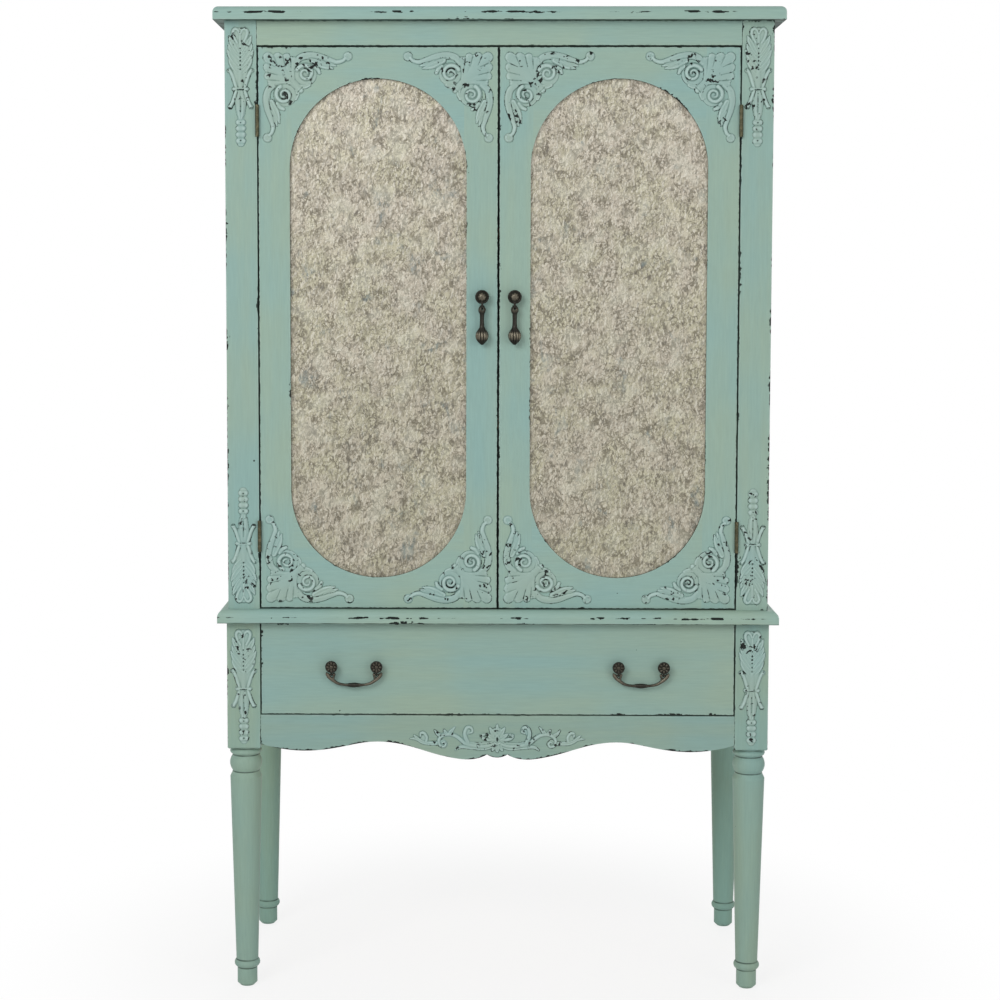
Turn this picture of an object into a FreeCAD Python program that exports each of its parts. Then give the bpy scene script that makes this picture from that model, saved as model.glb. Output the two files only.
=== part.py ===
import FreeCAD, Part
import math
import os

import Sketcher

# A free-standing cupboard on turned legs: two doors with antiqued mirror panels over one drawer, with
# applied carvings. Millimetres, +Z up, the front faces -Y and +X is to the viewer's right. The origin is
# on the floor, in the middle of the overall box.

SIZES = (
    # name, size, what it is
    ("case_width", 896, "over the outer faces of the upper posts"),
    ("case_depth", 384, "front face to rear face of the posts"),
    ("case_height", 967.5, "upper posts, from the waist board to the cornice"),
    ("cornice_thick", 22, "cornice board"),
    ("cornice_overhang", 17, "cornice past the posts, at the front and both sides"),
    ("cornice_round", 10, "radius on the cornice's upper edge"),
    ("waist_thick", 22, "waist board"),
    ("waist_overhang", 17, "waist board past the upper posts, at the front and both sides"),
    ("waist_round", 12, "radius on the waist board's upper edge"),
    ("post_width", 52, "upper posts from the front"),
    ("post_depth", 40, "upper posts from the side"),
    ("block_height", 214.5, "square block at the top of each leg"),
    ("block_width", 55, "square block, both ways"),
    ("block_spread", 3, "each block outside its upper post"),
    ("block_chamfer", 2, "lower edges of each block"),
    ("leg_height", 412, "turned part of each leg"),
    ("neck_radius", 24, "turning under the block"),
    ("neck_height", 3.5, "turning under the block"),
    ("small_bead_radius", 26, "bead under the neck"),
    ("small_bead_height", 9, "bead under the neck"),
    ("groove_radius", 22.8, "grooves over and under the large bead"),
    ("groove_height", 3, "grooves over and under the large bead"),
    ("large_bead_radius", 27, "large bead"),
    ("large_bead_height", 25, "large bead"),
    ("flare_height", 8, "from the lower groove out to the taper"),
    ("taper_top_radius", 26.6, "top of the taper"),
    ("taper_foot_radius", 18.5, "foot of the taper"),
    ("ring_radius", 20.6, "ring over the foot"),
    ("ring_height", 13, "ring over the foot"),
    ("foot_radius", 16.8, "foot under the ring"),
    ("foot_height", 32, "foot under the ring"),
    ("foot_chamfer", 5, "lower edge of the foot"),
    ("frieze_height", 40, "rail over the doors"),
    ("front_recess", 0.5, "doors, drawer and frieze behind the posts' face"),
    ("side_thick", 12, "upper side panels"),
    ("side_recess", 6, "side panels behind the outer faces of posts and blocks"),
    ("back_thick", 6, "upper back panel"),
    ("back_recess", 4, "back panel and rear apron behind the posts' rear face"),
    ("shelf_thick", 18, "each shelf"),
    ("shelf_setback", 6, "shelf edge behind the closed doors"),
    ("shelf_clearance", 0.6, "shelf to the pieces that it fits between"),
    ("lower_shelf_rise", 300, "waist board to the lower shelf"),
    ("upper_shelf_rise", 615, "waist board to the upper shelf"),
    ("pin_radius", 2.5, "shelf pins"),
    ("pin_reach", 10, "shelf pin out of its post"),
    ("pin_depth", 12, "shelf pin in its post"),
    ("pin_inset", 6, "shelf pin from the shelf's edge or from its post's edge"),
    ("fit_clearance", 0.05, "round pieces in their holes, on the radius"),
    ("door_gap", 2, "all round each door"),
    ("door_thick", 20, "door frame"),
    ("stile_width", 51.5, "door's edge to the straight sides of the opening"),
    ("rail_height", 51.25, "door's edge to the crown of the opening"),
    ("stile_lap", 4, "opening cut into each stile"),
    ("door_lip", 6, "frame in front of the mirror"),
    ("mirror_thick", 4, "mirror"),
    ("mirror_lap", 10, "rebate past the opening"),
    ("mirror_clearance", 0.5, "mirror in its rebate"),
    ("strip_thick", 8, "strips behind the mirror"),
    ("strip_width", 9, "strips behind the mirror"),
    ("hinge_height", 52, "each hinge"),
    ("hinge_setback", 94, "door's corner to the near end of its hinge"),
    ("knuckle_radius", 3.2, "hinge barrel"),
    ("knuckle_clearance", 0.15, "hinge barrel to the posts' face"),
    ("knuckle_gap", 0.2, "between two knuckles"),
    ("hinge_pin_radius", 1.4, "hinge pin"),
    ("leaf_depth", 17, "hinge leaf along the edge of the door"),
    ("leaf_clearance", 0.2, "between the two leaves of a closed hinge"),
    ("screw_head_radius", 3, "hinge screws"),
    ("screw_radius", 1.4, "hinge screws"),
    ("screw_length", 14, "hinge screws"),
    ("screw_spacing", 34, "between the two screws of a leaf"),
    ("catch_width", 40, "magnetic catches"),
    ("catch_height", 50, "magnetic catches"),
    ("catch_depth", 14, "magnetic catches"),
    ("catch_lap", 20, "magnetic catch behind the top of its door"),
    ("catch_spacing", 180, "between the middles of the two catches"),
    ("catch_clearance", 0.8, "magnetic catch to its strike plate"),
    ("strike_width", 26, "strike plates"),
    ("strike_height", 14, "strike plates"),
    ("strike_thick", 1.2, "strike plates"),
    ("pull_rise", 55, "door pull over the middle of its door"),
    ("pull_plate_radius", 8, "foot of the door pull"),
    ("pull_plate_thick", 2, "foot of the door pull"),
    ("pull_neck_radius", 4.5, "neck of the door pull"),
    ("pull_neck_length", 4, "neck of the door pull"),
    ("pull_head_radius", 11.5, "head of the door pull"),
    ("pull_head_length", 15, "head of the door pull"),
    ("tongue_thick", 3.2, "tongue that carries the drop"),
    ("tongue_radius", 3.2, "round end of the tongue"),
    ("pivot_radius", 1.2, "pivot of the drop"),
    ("pivot_below", 15.5, "pivot of the drop under the middle of the head"),
    ("cheek_thick", 2, "each cheek of the drop's fork"),
    ("cheek_radius", 3.4, "round end of each cheek"),
    ("joint_clearance", 0.3, "beside and behind a part that swings"),
    ("drop_length", 63.2, "pivot to the tip of the drop"),
    ("drop_clearance", 0.8, "drop to the door"),
    ("bulb_radius", 11, "bulb of the drop"),
    ("bulb_length", 37.5, "bulb of the drop"),
    ("stem_radius", 3.7, "stem of the drop"),
    ("stem_length", 16, "stem of the drop"),
    ("cap_radius", 6.8, "cap of the drop"),
    ("cap_flare", 2.7, "stem to the rim of the cap"),
    ("cap_thick", 2.2, "rim of the cap"),
    ("drawer_gap", 2, "round the drawer front"),
    ("drawer_front_height", 153, "drawer front"),
    ("drawer_front_thick", 18, "drawer front"),
    ("drawer_side_thick", 12, "drawer sides and back"),
    ("drawer_side_rise", 12.5, "drawer side over the lower edge of the front"),
    ("drawer_side_drop", 22.5, "drawer side under the upper edge of the front"),
    ("drawer_side_clearance", 3, "drawer side to the case"),
    ("drawer_back_clearance", 14, "drawer to the rear apron"),
    ("drawer_back_drop", 10, "drawer back under the top of the sides"),
    ("drawer_bottom_thick", 5, "drawer bottom"),
    ("drawer_bottom_rise", 8, "drawer bottom over the foot of the sides"),
    ("groove_depth", 6, "groove for the drawer bottom"),
    ("groove_clearance", 0.3, "drawer bottom in its groove"),
    ("runner_height", 12, "runners"),
    ("runner_ledge", 9, "runner past the inner face of the drawer side"),
    ("runner_clearance", 0.4, "drawer side over its runner"),
    ("kicker_ledge", 3, "kicker past the inner face of the drawer side"),
    ("kicker_clearance", 2, "drawer side under its kicker"),
    ("rail_setback", 1, "runners and kickers behind the drawer front"),
    ("apron_thick", 18, "front apron"),
    ("apron_recess", 1.5, "front apron behind the posts' face"),
    ("apron_end_height", 49.5, "front apron beside the blocks"),
    ("scallop_drop", 25, "lowest point of the front apron under its ends"),
    ("side_apron_thick", 18, "side aprons"),
    ("rear_apron_thick", 12, "rear apron"),
    ("bail_centres", 75, "between the two posts of a drawer pull"),
    ("bail_inset", 155.5, "middle of each drawer pull from the end of the drawer front"),
    ("bail_post_rise", 82, "posts over the lower edge of the drawer front"),
    ("bail_post_radius", 4.4, "posts"),
    ("bail_plate_radius", 6.6, "foot of each post"),
    ("bail_plate_thick", 2, "foot of each post"),
    ("rosette_radius", 10.2, "rosette on each post"),
    ("rosette_thick", 4.5, "rosette on each post"),
    ("lug_thick", 2.6, "lug under each rosette"),
    ("lug_radius", 2.4, "round end of the lug"),
    ("bail_radius", 2.7, "rod of the bail"),
    ("bail_reach", 6.7, "outer ball of the bail from the middle of its post"),
    ("bail_pin_radius", 1.4, "pin through each lug"),
    ("bail_clearance", 5.2, "bail to the drawer"),
    ("outer_ball_radius", 3, "ball at each end of the bail"),
    ("inner_ball_radius", 2.6, "ball at the inner end of each pin"),
    ("branch_radius", 2.1, "branch from the bail to the inner ball"),
    ("shoulder_radius", 20.5, "bend at each end of the grip"),
    ("shoulder_rise", 9.4, "centre of that bend over the pins"),
    ("bow_radius", 74, "bend of the grip"),
    ("swell_radius", 4.3, "swelling in the middle of the grip"),
    ("swell_length", 10, "each half of the swelling"),
    ("carving_thick", 5, "applied carvings"),
    ("corner_carving_inset", 8, "corner carvings from the edges of the door"),
    ("head_carving_drop", 10, "upper post carving under the cornice"),
    ("foot_carving_rise", 9, "lower post carving over the waist board"),
    ("block_carving_drop", 12, "block carving under the waist board"),
    ("apron_carving_drop", 40.8, "middle of the apron carving under the top of the apron"),
)

# Turned curves, each point a share of the radius and a share of the length.
HEAD_CURVE = ((0.8, 0.11), (1, 0.43), (0.85, 0.7), (0.45, 0.93))
BULB_CURVE = ((0.35, 0.05), (0.8, 0.22), (1, 0.44), (0.88, 0.66), (0.5, 0.86))
ROSETTE_CURVE = ((1, 0.3), (0.9, 0.65), (0.4, 1))

# Lower edge of the front apron from its end to the cusp near the middle: a share of half its length, and
# a share of the scallops' drop. The lobe between the two cusps reaches down to the last share.
APRON_EDGE = (
    (1, 0),
    (0.933, -0.26),
    (0.813, -0.45),
    (0.66, -0.18),
    (0.537, 0.17),
    (0.37, -0.11),
    (0.27, -0.59),
    (0.19, -0.89),
    (0.122, -1),
    (0.075, -0.89),
    (0.043, -0.66),
)
APRON_LOBE = -0.87

# Carvings as discs and strokes. A disc is (across, down, radius). A stroke runs along a leaf or a scroll
# as (across, down, half width). The corner carving is measured from the corner of its door and is the
# same the other way about, the post carving from the top of its middle line. The apron carving is
# measured from its middle, upwards. What is not on the middle line of the last two is mirrored.
CORNER_ROOT = (40, 40, 6)
CORNER_LOBES = ((46, 8, 5), (34, 6, 5.5), (22, 5.5, 5.5), (9, 9, 7), (5.5, 22, 5.5), (6, 34, 5.5), (8, 46, 5))
CORNER_DISCS = ((69.5, 34.3, 16.8), (59.5, 59.5, 5), (138.5, 7, 6))
CORNER_STROKES = (
    ((56, 20, 5), (64, 9, 5), (77, 6.5, 5), (90, 9, 5.5), (105, 14, 5), (122, 16, 4.5), (136, 10, 4.5)),
    ((86, 14, 5), (95, 20, 5), (105, 24.5, 3.3), (115, 27, 1)),
    ((74, 28, 4), (83, 26.5, 4.5)),
    ((40, 40, 6), (57, 37, 4)),
    ((40, 40, 6), (59.5, 59.5, 5)),
)
POST_DISCS = ((0, 9, 7.5), (9, 13, 6), (20, 72, 4), (18.6, 133, 4.3), (0, 157, 7), (0, 171, 7), (0, 185, 7))
POST_STROKES = (
    ((0, 10, 7.5), (0, 38, 4.5)),
    ((9, 13, 6), (2, 33, 4)),
    ((1.6, 38, 4.5), (8.5, 29, 5), (16, 19.5, 2.5)),
    ((2, 44, 4), (15.5, 37, 3.6)),
    ((1.6, 70, 6), (12.7, 58, 5), (19.6, 45.6, 3), (21.7, 41.5, 1.3)),
    ((0, 36, 4.5), (0, 58, 9.5), (0, 78, 12), (0, 97, 6.5)),
    ((0, 95, 6.5), (0, 114, 8), (0, 131, 10), (0, 143, 7.5), (0, 153, 3.5)),
    ((6, 88, 4), (13, 78, 3.8), (20, 73, 3)),
    ((0, 104, 2.7), (10.3, 104, 2.7)),
    ((6, 112, 4), (11, 124, 4), (18.4, 133, 3.4)),
)
APRON_DISCS = ((0, 0, 8.5), (91.6, -7.2, 7.5), (23, 4, 4.8))
APRON_STROKES = (
    ((0, 2, 7), (0, 20, 4.5), (0, 25.5, 1.6)),
    ((2, 3, 6), (8.5, 14, 4.5), (12.5, 20.5, 1.4)),
    ((4, 0, 5), (13, 7, 4), (18, 10, 1.4)),
    ((3, -3, 5), (11, -7.5, 3.6), (15, -9, 1.6)),
    ((1, -4, 5), (6, -14, 3.6), (8.5, -19, 1.4)),
    ((0, -4, 5), (0, -19, 3)),
    ((6, -7, 4), (16, -10.4, 3.8), (28, -11.2, 3.6), (43, -9.4, 3.6), (54, -6, 3.6), (63, 1.6, 3.4)),
    ((62, 0.8, 3.4), (71, 6.8, 3.4), (80, 9.2, 3.4), (89, 8.1, 3.4), (97, 3, 3.2)),
    ((97, -6, 3.4), (109, -6, 3.2), (120, -5.7, 3), (129, -2.1, 2.8), (135, 4, 2.4), (139, 7.6, 1.2)),
    ((129, -1, 3), (138, 1.6, 2.2), (146, 1.3, 0.9)),
    ((120, -4, 3), (120.5, 4.5, 3), (126, 11, 3.4)),
    ((92, 6, 3), (99, 9, 2.6), (105, 16, 1)),
    ((84, 9, 3.2), (87, 13, 2.6), (89, 17, 1)),
    ((81, 9, 3), (76.5, 14.5, 2.8), (70.5, 21.5, 1)),
    ((49, -6, 3.8), (52.6, 5, 3.8), (53, 14, 3.6), (48, 20, 3.2), (42.5, 17, 3), (43, 11, 2)),
    ((8, -11, 3.4), (22, -14.6, 3), (45, -12.6, 3), (61, -12, 2.8), (70, -18, 1)),
    ((6, 0, 4), (22, 4, 4.4)),
)

SIDES = (("left", -1), ("right", 1))
KNUCKLES = 5

doc = FreeCAD.newDocument("cupboard")
sheet = doc.addObject("Spreadsheet::Sheet", "sizes")
for row, (name, millimetres, note) in enumerate(SIZES, start=1):
    sheet.set(f"A{row}", note)
    sheet.set(f"B{row}", str(millimetres))
    sheet.setAlias(f"B{row}", name)
doc.recompute()


class Size:
    """A length that knows both its number and the expression that gives it from the sheet."""

    def __init__(self, text, number):
        self.text = text
        self.number = number

    def __add__(self, other):
        other = as_size(other)
        return Size(f"({self.text} + {other.text})", self.number + other.number)

    def __sub__(self, other):
        other = as_size(other)
        return Size(f"({self.text} - {other.text})", self.number - other.number)

    def __mul__(self, share):
        return Size(f"({self.text} * {share})", self.number * share)

    def __truediv__(self, share):
        return Size(f"({self.text} / {share})", self.number / share)

    def __neg__(self):
        return self * -1


class Sheet:
    """Each name of the sheet as a Size."""

    def __getattr__(self, name):
        return Size(f"sizes.{name}", float(sheet.get(name)))


def as_size(value):
    return value if isinstance(value, Size) else Size(f"({value})", value)


size = Sheet()
ZERO = as_size(0)

# ---------------------------------------------------------------- places that several pieces share
drop_out = size.bulb_radius + size.drop_clearance
face = (drop_out + size.bulb_radius - size.front_recess - size.case_depth) / 2
back = face + size.case_depth
panel_face = face + size.front_recess
door_rear = panel_face + size.door_thick
front_post_rear = face + size.post_depth
rear_post_front = back - size.post_depth
back_front = back - size.back_recess - size.back_thick
rear_apron_front = back - size.back_recess - size.rear_apron_thick

post_out = size.case_width / 2
post_in = post_out - size.post_width
block_out = post_out + size.block_spread
block_in = block_out - size.block_width

waist_under = size.leg_height + size.block_height
waist_top = waist_under + size.waist_thick
post_top = waist_top + size.case_height

door_in = size.door_gap / 2
door_out = post_in - size.door_gap
door_foot = waist_top + size.door_gap
door_top = post_top - size.frieze_height - size.door_gap
door_mid_x = (door_in + door_out) / 2
door_mid_z = (door_foot + door_top) / 2
opening_radius = (door_out - door_in) / 2 - size.stile_width
opening_reach = (door_top - door_foot) / 2 - size.rail_height
arch_spring = opening_reach - opening_radius

hinge_x = post_in - size.door_gap / 2
hinge_y = face - size.knuckle_radius - size.knuckle_clearance
leaf_front = face + size.knuckle_clearance
leaf_thick = (size.door_gap - size.leaf_clearance) / 2
hinge_feet = (door_foot + size.hinge_setback, door_top - size.hinge_setback - size.hinge_height)

drawer_top = waist_under - size.drawer_gap
drawer_foot = drawer_top - size.drawer_front_height
drawer_out = block_in - size.drawer_side_clearance
drawer_in = drawer_out - size.drawer_side_thick
drawer_front_rear = panel_face + size.drawer_front_thick
drawer_rear = rear_apron_front - size.drawer_back_clearance
drawer_side_foot = drawer_foot + size.drawer_side_rise
drawer_side_top = drawer_top - size.drawer_side_drop
apron_face = face + size.apron_recess
apron_top = drawer_foot - size.drawer_gap
apron_foot = apron_top - size.apron_end_height

exported = []


# ---------------------------------------------------------------- tools for every piece
def bind(thing, name, amount):
    """Ties one property of a document object to the sheet."""
    thing.setExpression(name, as_size(amount).text)


def place(thing, x=ZERO, y=ZERO, z=ZERO):
    for axis, amount in zip("xyz", (x, y, z)):
        bind(thing, f"Placement.Base.{axis}", amount)
    return thing


def turn(thing, axis, degrees):
    rotation = FreeCAD.Rotation(FreeCAD.Vector(*axis), degrees)
    thing.Placement = FreeCAD.Placement(FreeCAD.Vector(), rotation)
    return thing


def keep(thing, label):
    """Marks a document object as a sub-part, under the name that it is exported by."""
    thing.Label = label
    exported.append(thing)
    return thing


def span(side, low, high):
    """A range of X on the right of the case, or its mirror image on the left."""
    return (low, high) if side > 0 else (-high, -low)


def around(middle, half):
    return (middle - half, middle + half)


def board(label, x, y, z):
    """A board from its low and high limits along each axis."""
    thing = doc.addObject("Part::Box", label)
    for edge, (low, high) in zip(("Length", "Width", "Height"), (x, y, z)):
        bind(thing, edge, high - low)
    return place(thing, x[0], y[0], z[0])


def rod(label, radius, length, axis, x, y, z):
    """A cylinder whose first end is centred at x, y, z and which runs along +X, -Y or +Z."""
    thing = doc.addObject("Part::Cylinder", label)
    bind(thing, "Radius", radius)
    bind(thing, "Height", length)
    turns = {"x": ((0, 1, 0), 90), "-y": ((1, 0, 0), 90), "z": ((0, 0, 1), 0)}
    return place(turn(thing, *turns[axis]), x, y, z)


def fuse(label, pieces):
    thing = doc.addObject("Part::MultiFuse", label)
    thing.Shapes = pieces
    thing.Refine = True
    return thing


def cut(label, base, tool):
    thing = doc.addObject("Part::Cut", label)
    thing.Base = base
    thing.Tool = tool
    thing.Refine = True
    return thing


def group(label, pieces):
    """Several like pieces, each a solid of its own, in one node."""
    thing = doc.addObject("Part::Compound", label)
    thing.Links = pieces
    return keep(thing, label)


# ---------------------------------------------------------------- tools for sketched bodies
def plane(body, role):
    return next(feature for feature in body.Origin.OriginFeatures if feature.Role == role)


def bow_radius(start, end, reach):
    """Radius of the arc from start to end that reaches out to a given distance from the axis."""
    rise = Size(reach.text, reach.number) - start[0]
    half = (end[1] - start[1]) / 2
    text = f"(({rise.text})^2 + ({half.text})^2) / (2 * {rise.text})"
    return Size(text, (rise.number ** 2 + half.number ** 2) / (2 * rise.number))


def hold(sketch, kind, where, amount):
    """One dimension of a sketch, tied to the sheet."""
    number = sketch.addConstraint(Sketcher.Constraint(kind, *where, amount.number))
    sketch.setExpression(f"Constraints[{number}]", amount.text)


def add_edge(sketch, start, end, reach):
    """A line, or an arc out to reach. Gives the edge's number and its first and last point's numbers."""
    first = FreeCAD.Vector(start[0].number, start[1].number, 0)
    last = FreeCAD.Vector(end[0].number, end[1].number, 0)
    if reach is None:
        return sketch.addGeometry(Part.LineSegment(first, last), False), 1, 2
    middle = FreeCAD.Vector(reach.number, (first.y + last.y) / 2, 0)
    edge = sketch.addGeometry(Part.Arc(first, middle, last), False)
    ends = (1, 2) if sketch.getPoint(edge, 1).isEqual(first, 1e-6) else (2, 1)
    return edge, *ends


def outline(body, label, role, corners, bulges=None):
    """A closed sketch through corners. bulges gives the reach of the arcs, by the corner they start from."""
    sketch = body.newObject("Sketcher::SketchObject", label)
    sketch.AttachmentSupport = [(plane(body, role), "")]
    sketch.MapMode = "FlatFace"
    bulges = bulges or {}
    following = corners[1:] + corners[:1]
    edges = [
        add_edge(sketch, start, end, bulges.get(number))
        for number, (start, end) in enumerate(zip(corners, following))
    ]
    for (edge, first, last), (next_edge, next_first, next_last) in zip(edges, edges[1:] + edges[:1]):
        sketch.addConstraint(Sketcher.Constraint("Coincident", edge, last, next_edge, next_first))
    for (edge, first, last), corner in zip(edges, corners):
        hold(sketch, "DistanceX", (-1, 1, edge, first), corner[0])
        hold(sketch, "DistanceY", (-1, 1, edge, first), corner[1])
    for number, reach in bulges.items():
        radius = bow_radius(corners[number], following[number], reach)
        hold(sketch, "Radius", (edges[number][0],), radius)
    return sketch


def pad(body, label, sketch, height):
    feature = body.newObject("PartDesign::Pad", label)
    feature.Profile = sketch
    bind(feature, "Length", height)
    return feature


def revolve(body, label, sketch):
    feature = body.newObject("PartDesign::Revolution", label)
    feature.Profile = sketch
    feature.ReferenceAxis = (sketch, ["V_Axis"])
    feature.Angle = 360
    return feature


def turned(label, corners):
    """A turned body whose half profile runs through corners, each a radius and a height."""
    body = doc.addObject("PartDesign::Body", label)
    revolve(body, f"{label}_turning", outline(body, f"{label}_profile", "XZ_Plane", corners))
    return body


def curve_points(curve, radius, length, start):
    return [(radius * across, start + length * along) for across, along in curve]


def edges_where(shape, chosen):
    """Names of the edges whose middle point the chosen test accepts."""
    names = []
    for number, edge in enumerate(shape.Edges, start=1):
        middle = edge.valueAt((edge.FirstParameter + edge.LastParameter) / 2)
        if chosen(middle):
            names.append(f"Edge{number}")
    return names


# ---------------------------------------------------------------- cornice and waist boards
def moulded_board(label, overhang, thick, rounding, foot):
    """A board over the whole case. Its upper edge is rounded at the front and at both ends."""
    body = doc.addObject("PartDesign::Body", label)
    half = post_out + overhang
    depth = size.case_depth + overhang
    corners = [(-half, ZERO), (half, ZERO), (half, depth), (-half, depth)]
    slab = pad(body, f"{label}_slab", outline(body, f"{label}_outline", "XY_Plane", corners), thick)
    doc.recompute()
    top, rear = thick.number, depth.number
    rounded = edges_where(slab.Shape, lambda p: abs(p.z - top) < 1e-6 and abs(p.y - rear) > 1e-6)
    edge = body.newObject("PartDesign::Fillet", f"{label}_edge")
    edge.Base = (slab, rounded)
    bind(edge, "Radius", rounding)
    keep(place(body, ZERO, face - overhang, foot), label)


moulded_board("waist_board", size.waist_overhang, size.waist_thick, size.waist_round, waist_under)
moulded_board("cornice_board", size.cornice_overhang, size.cornice_thick, size.cornice_round, post_top)


# ---------------------------------------------------------------- shelves and their pins
shelf_feet = (("lower", waist_top + size.lower_shelf_rise), ("upper", waist_top + size.upper_shelf_rise))
shelf_front = door_rear + size.shelf_setback
pin_rows = (("front", shelf_front + size.pin_inset), ("rear", rear_post_front + size.pin_inset))


def shelf_pin(label, side, y, foot, clearance):
    """A shelf pin, or its hole in the post when a clearance is given."""
    x = span(side, post_in - size.pin_reach, post_in + size.pin_depth)
    return rod(label, size.pin_radius + clearance, x[1] - x[0], "x", x[0], y, foot - size.pin_radius)


def shelf(level, foot):
    """A shelf, notched round the four posts."""
    half = post_out - size.side_recess - size.side_thick - size.shelf_clearance
    z = (foot, foot + size.shelf_thick)
    blank = board(f"{level}_shelf_blank", (-half, half), (shelf_front, back_front - size.shelf_clearance), z)
    notches = []
    for side_name, side in SIDES:
        x = span(side, post_in - size.shelf_clearance, post_out)
        front = (face, front_post_rear + size.shelf_clearance)
        rear = (rear_post_front - size.shelf_clearance, back)
        notches.append(board(f"{level}_notch_front_{side_name}", x, front, z))
        notches.append(board(f"{level}_notch_rear_{side_name}", x, rear, z))
    keep(cut(f"{level}_shelf", blank, fuse(f"{level}_notches", notches)), f"{level}_shelf")


pins = []
for level, foot in shelf_feet:
    shelf(level, foot)
    for side_name, side in SIDES:
        pins += [shelf_pin(f"pin_{level}_{row}_{side_name}", side, y, foot, ZERO) for row, y in pin_rows]
group("shelf_pins", pins)


# ---------------------------------------------------------------- hinge screws
def screw(label, side, into_post, foot, step, clearance):
    """A countersunk hinge screw, or its hole when a clearance is given. step is -1 low and 1 high."""
    way = side if into_post else -side
    x = hinge_x * side + size.leaf_clearance / 2 * way
    y = leaf_front + size.leaf_depth / 2
    z = foot + size.hinge_height / 2 + size.screw_spacing / 2 * step
    head = doc.addObject("Part::Cone", f"{label}_head")
    bind(head, "Radius1", size.screw_head_radius + clearance)
    bind(head, "Radius2", size.screw_radius + clearance)
    bind(head, "Height", leaf_thick)
    shank = doc.addObject("Part::Cylinder", f"{label}_shank")
    bind(shank, "Radius", size.screw_radius + clearance)
    bind(shank, "Height", size.screw_length + clearance)
    for piece in (head, shank):
        place(turn(piece, (0, 1, 0), 90 * way), x, y, z)
    return fuse(label, [head, shank])


def screws(label, side, into_post, clearance):
    """The four hinge screws, or holes, of one door or one post."""
    return [
        screw(f"{label}_{side}_{level}_{step}".replace("-", "minus_"), side, into_post, foot, step, clearance)
        for level, foot in enumerate(hinge_feet)
        for step in (-1, 1)
    ]


# ---------------------------------------------------------------- upper posts
def post(row, side_name, side, y, pin_y):
    """An upper post, drilled for its shelf pins. A front post is drilled for the hinge screws too."""
    label = f"{row}_post_{side_name}"
    blank = board(f"{label}_blank", span(side, post_in, post_out), y, (waist_top, post_top))
    holes = []
    for level, foot in shelf_feet:
        holes.append(shelf_pin(f"{label}_hole_{level}", side, pin_y, foot, size.fit_clearance))
    if row == "front":
        holes += screws("post_screw_hole", side, True, size.fit_clearance)
    keep(cut(label, blank, fuse(f"{label}_holes", holes)), label)


for side_name, side in SIDES:
    post("front", side_name, side, (face, front_post_rear), pin_rows[0][1])
    post("rear", side_name, side, (rear_post_front, back), pin_rows[1][1])

# ---------------------------------------------------------------- frieze, side panels and back panel
upper_z = (waist_top, post_top)
frieze_y = (panel_face, door_rear + size.strike_thick + size.catch_clearance)
frieze = board("frieze_rail", (-post_in, post_in), frieze_y, (post_top - size.frieze_height, post_top))
keep(frieze, "frieze_rail")
for side_name, side in SIDES:
    label = f"side_panel_{side_name}"
    x = span(side, post_out - size.side_recess - size.side_thick, post_out - size.side_recess)
    keep(board(label, x, (front_post_rear, rear_post_front), upper_z), label)
back_y = (back_front, back_front + size.back_thick)
keep(board("back_panel", (-post_in, post_in), back_y, upper_z), "back_panel")


# ---------------------------------------------------------------- turned legs
def leg_profile():
    """Half profile of the turned shaft from the floor up, and the reach of its ring and its two beads."""
    neck = size.leg_height - size.neck_height
    upper_groove = neck - size.small_bead_height
    bead = upper_groove - size.groove_height
    lower_groove = bead - size.large_bead_height
    flare = lower_groove - size.groove_height
    corners = [
        (ZERO, ZERO),
        (size.foot_radius - size.foot_chamfer, ZERO),
        (size.foot_radius, size.foot_chamfer),
        (size.foot_radius, size.foot_height),
        (size.taper_foot_radius, size.foot_height + size.ring_height),
        (size.taper_top_radius, flare - size.flare_height),
        (size.groove_radius, flare),
        (size.groove_radius, lower_groove),
        (size.groove_radius, bead),
        (size.groove_radius, upper_groove),
        (size.neck_radius, neck),
        (size.neck_radius, size.leg_height),
        (ZERO, size.leg_height),
    ]
    return corners, {3: size.ring_radius, 7: size.large_bead_radius, 9: size.small_bead_radius}


def leg(label, x, y):
    """A square block over a turned and tapered shaft, about the axis at x, y."""
    body = doc.addObject("PartDesign::Body", label)
    corners, bulges = leg_profile()
    revolve(body, f"{label}_shaft", outline(body, f"{label}_profile", "XZ_Plane", corners, bulges))
    half = size.block_width / 2
    corners = [(-half, -half), (half, -half), (half, half), (-half, half)]
    square = outline(body, f"{label}_square", "XY_Plane", corners)
    bind(square, "AttachmentOffset.Base.z", size.leg_height)
    block = pad(body, f"{label}_block", square, size.block_height)
    doc.recompute()
    foot, reach = size.leg_height.number, half.number

    def on_lower_rim(point):
        return abs(point.z - foot) < 1e-6 and max(abs(point.x), abs(point.y)) > reach - 1e-6

    lower = edges_where(block.Shape, on_lower_rim)
    ease = body.newObject("PartDesign::Chamfer", f"{label}_ease")
    ease.Base = (block, lower)
    bind(ease, "Size", size.block_chamfer)
    keep(place(body, x, y, ZERO), label)


leg_x = block_out - size.block_width / 2
for side_name, side in SIDES:
    leg(f"front_leg_{side_name}", leg_x * side, face + size.block_width / 2)
    leg(f"rear_leg_{side_name}", leg_x * side, back - size.block_width / 2)


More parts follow.
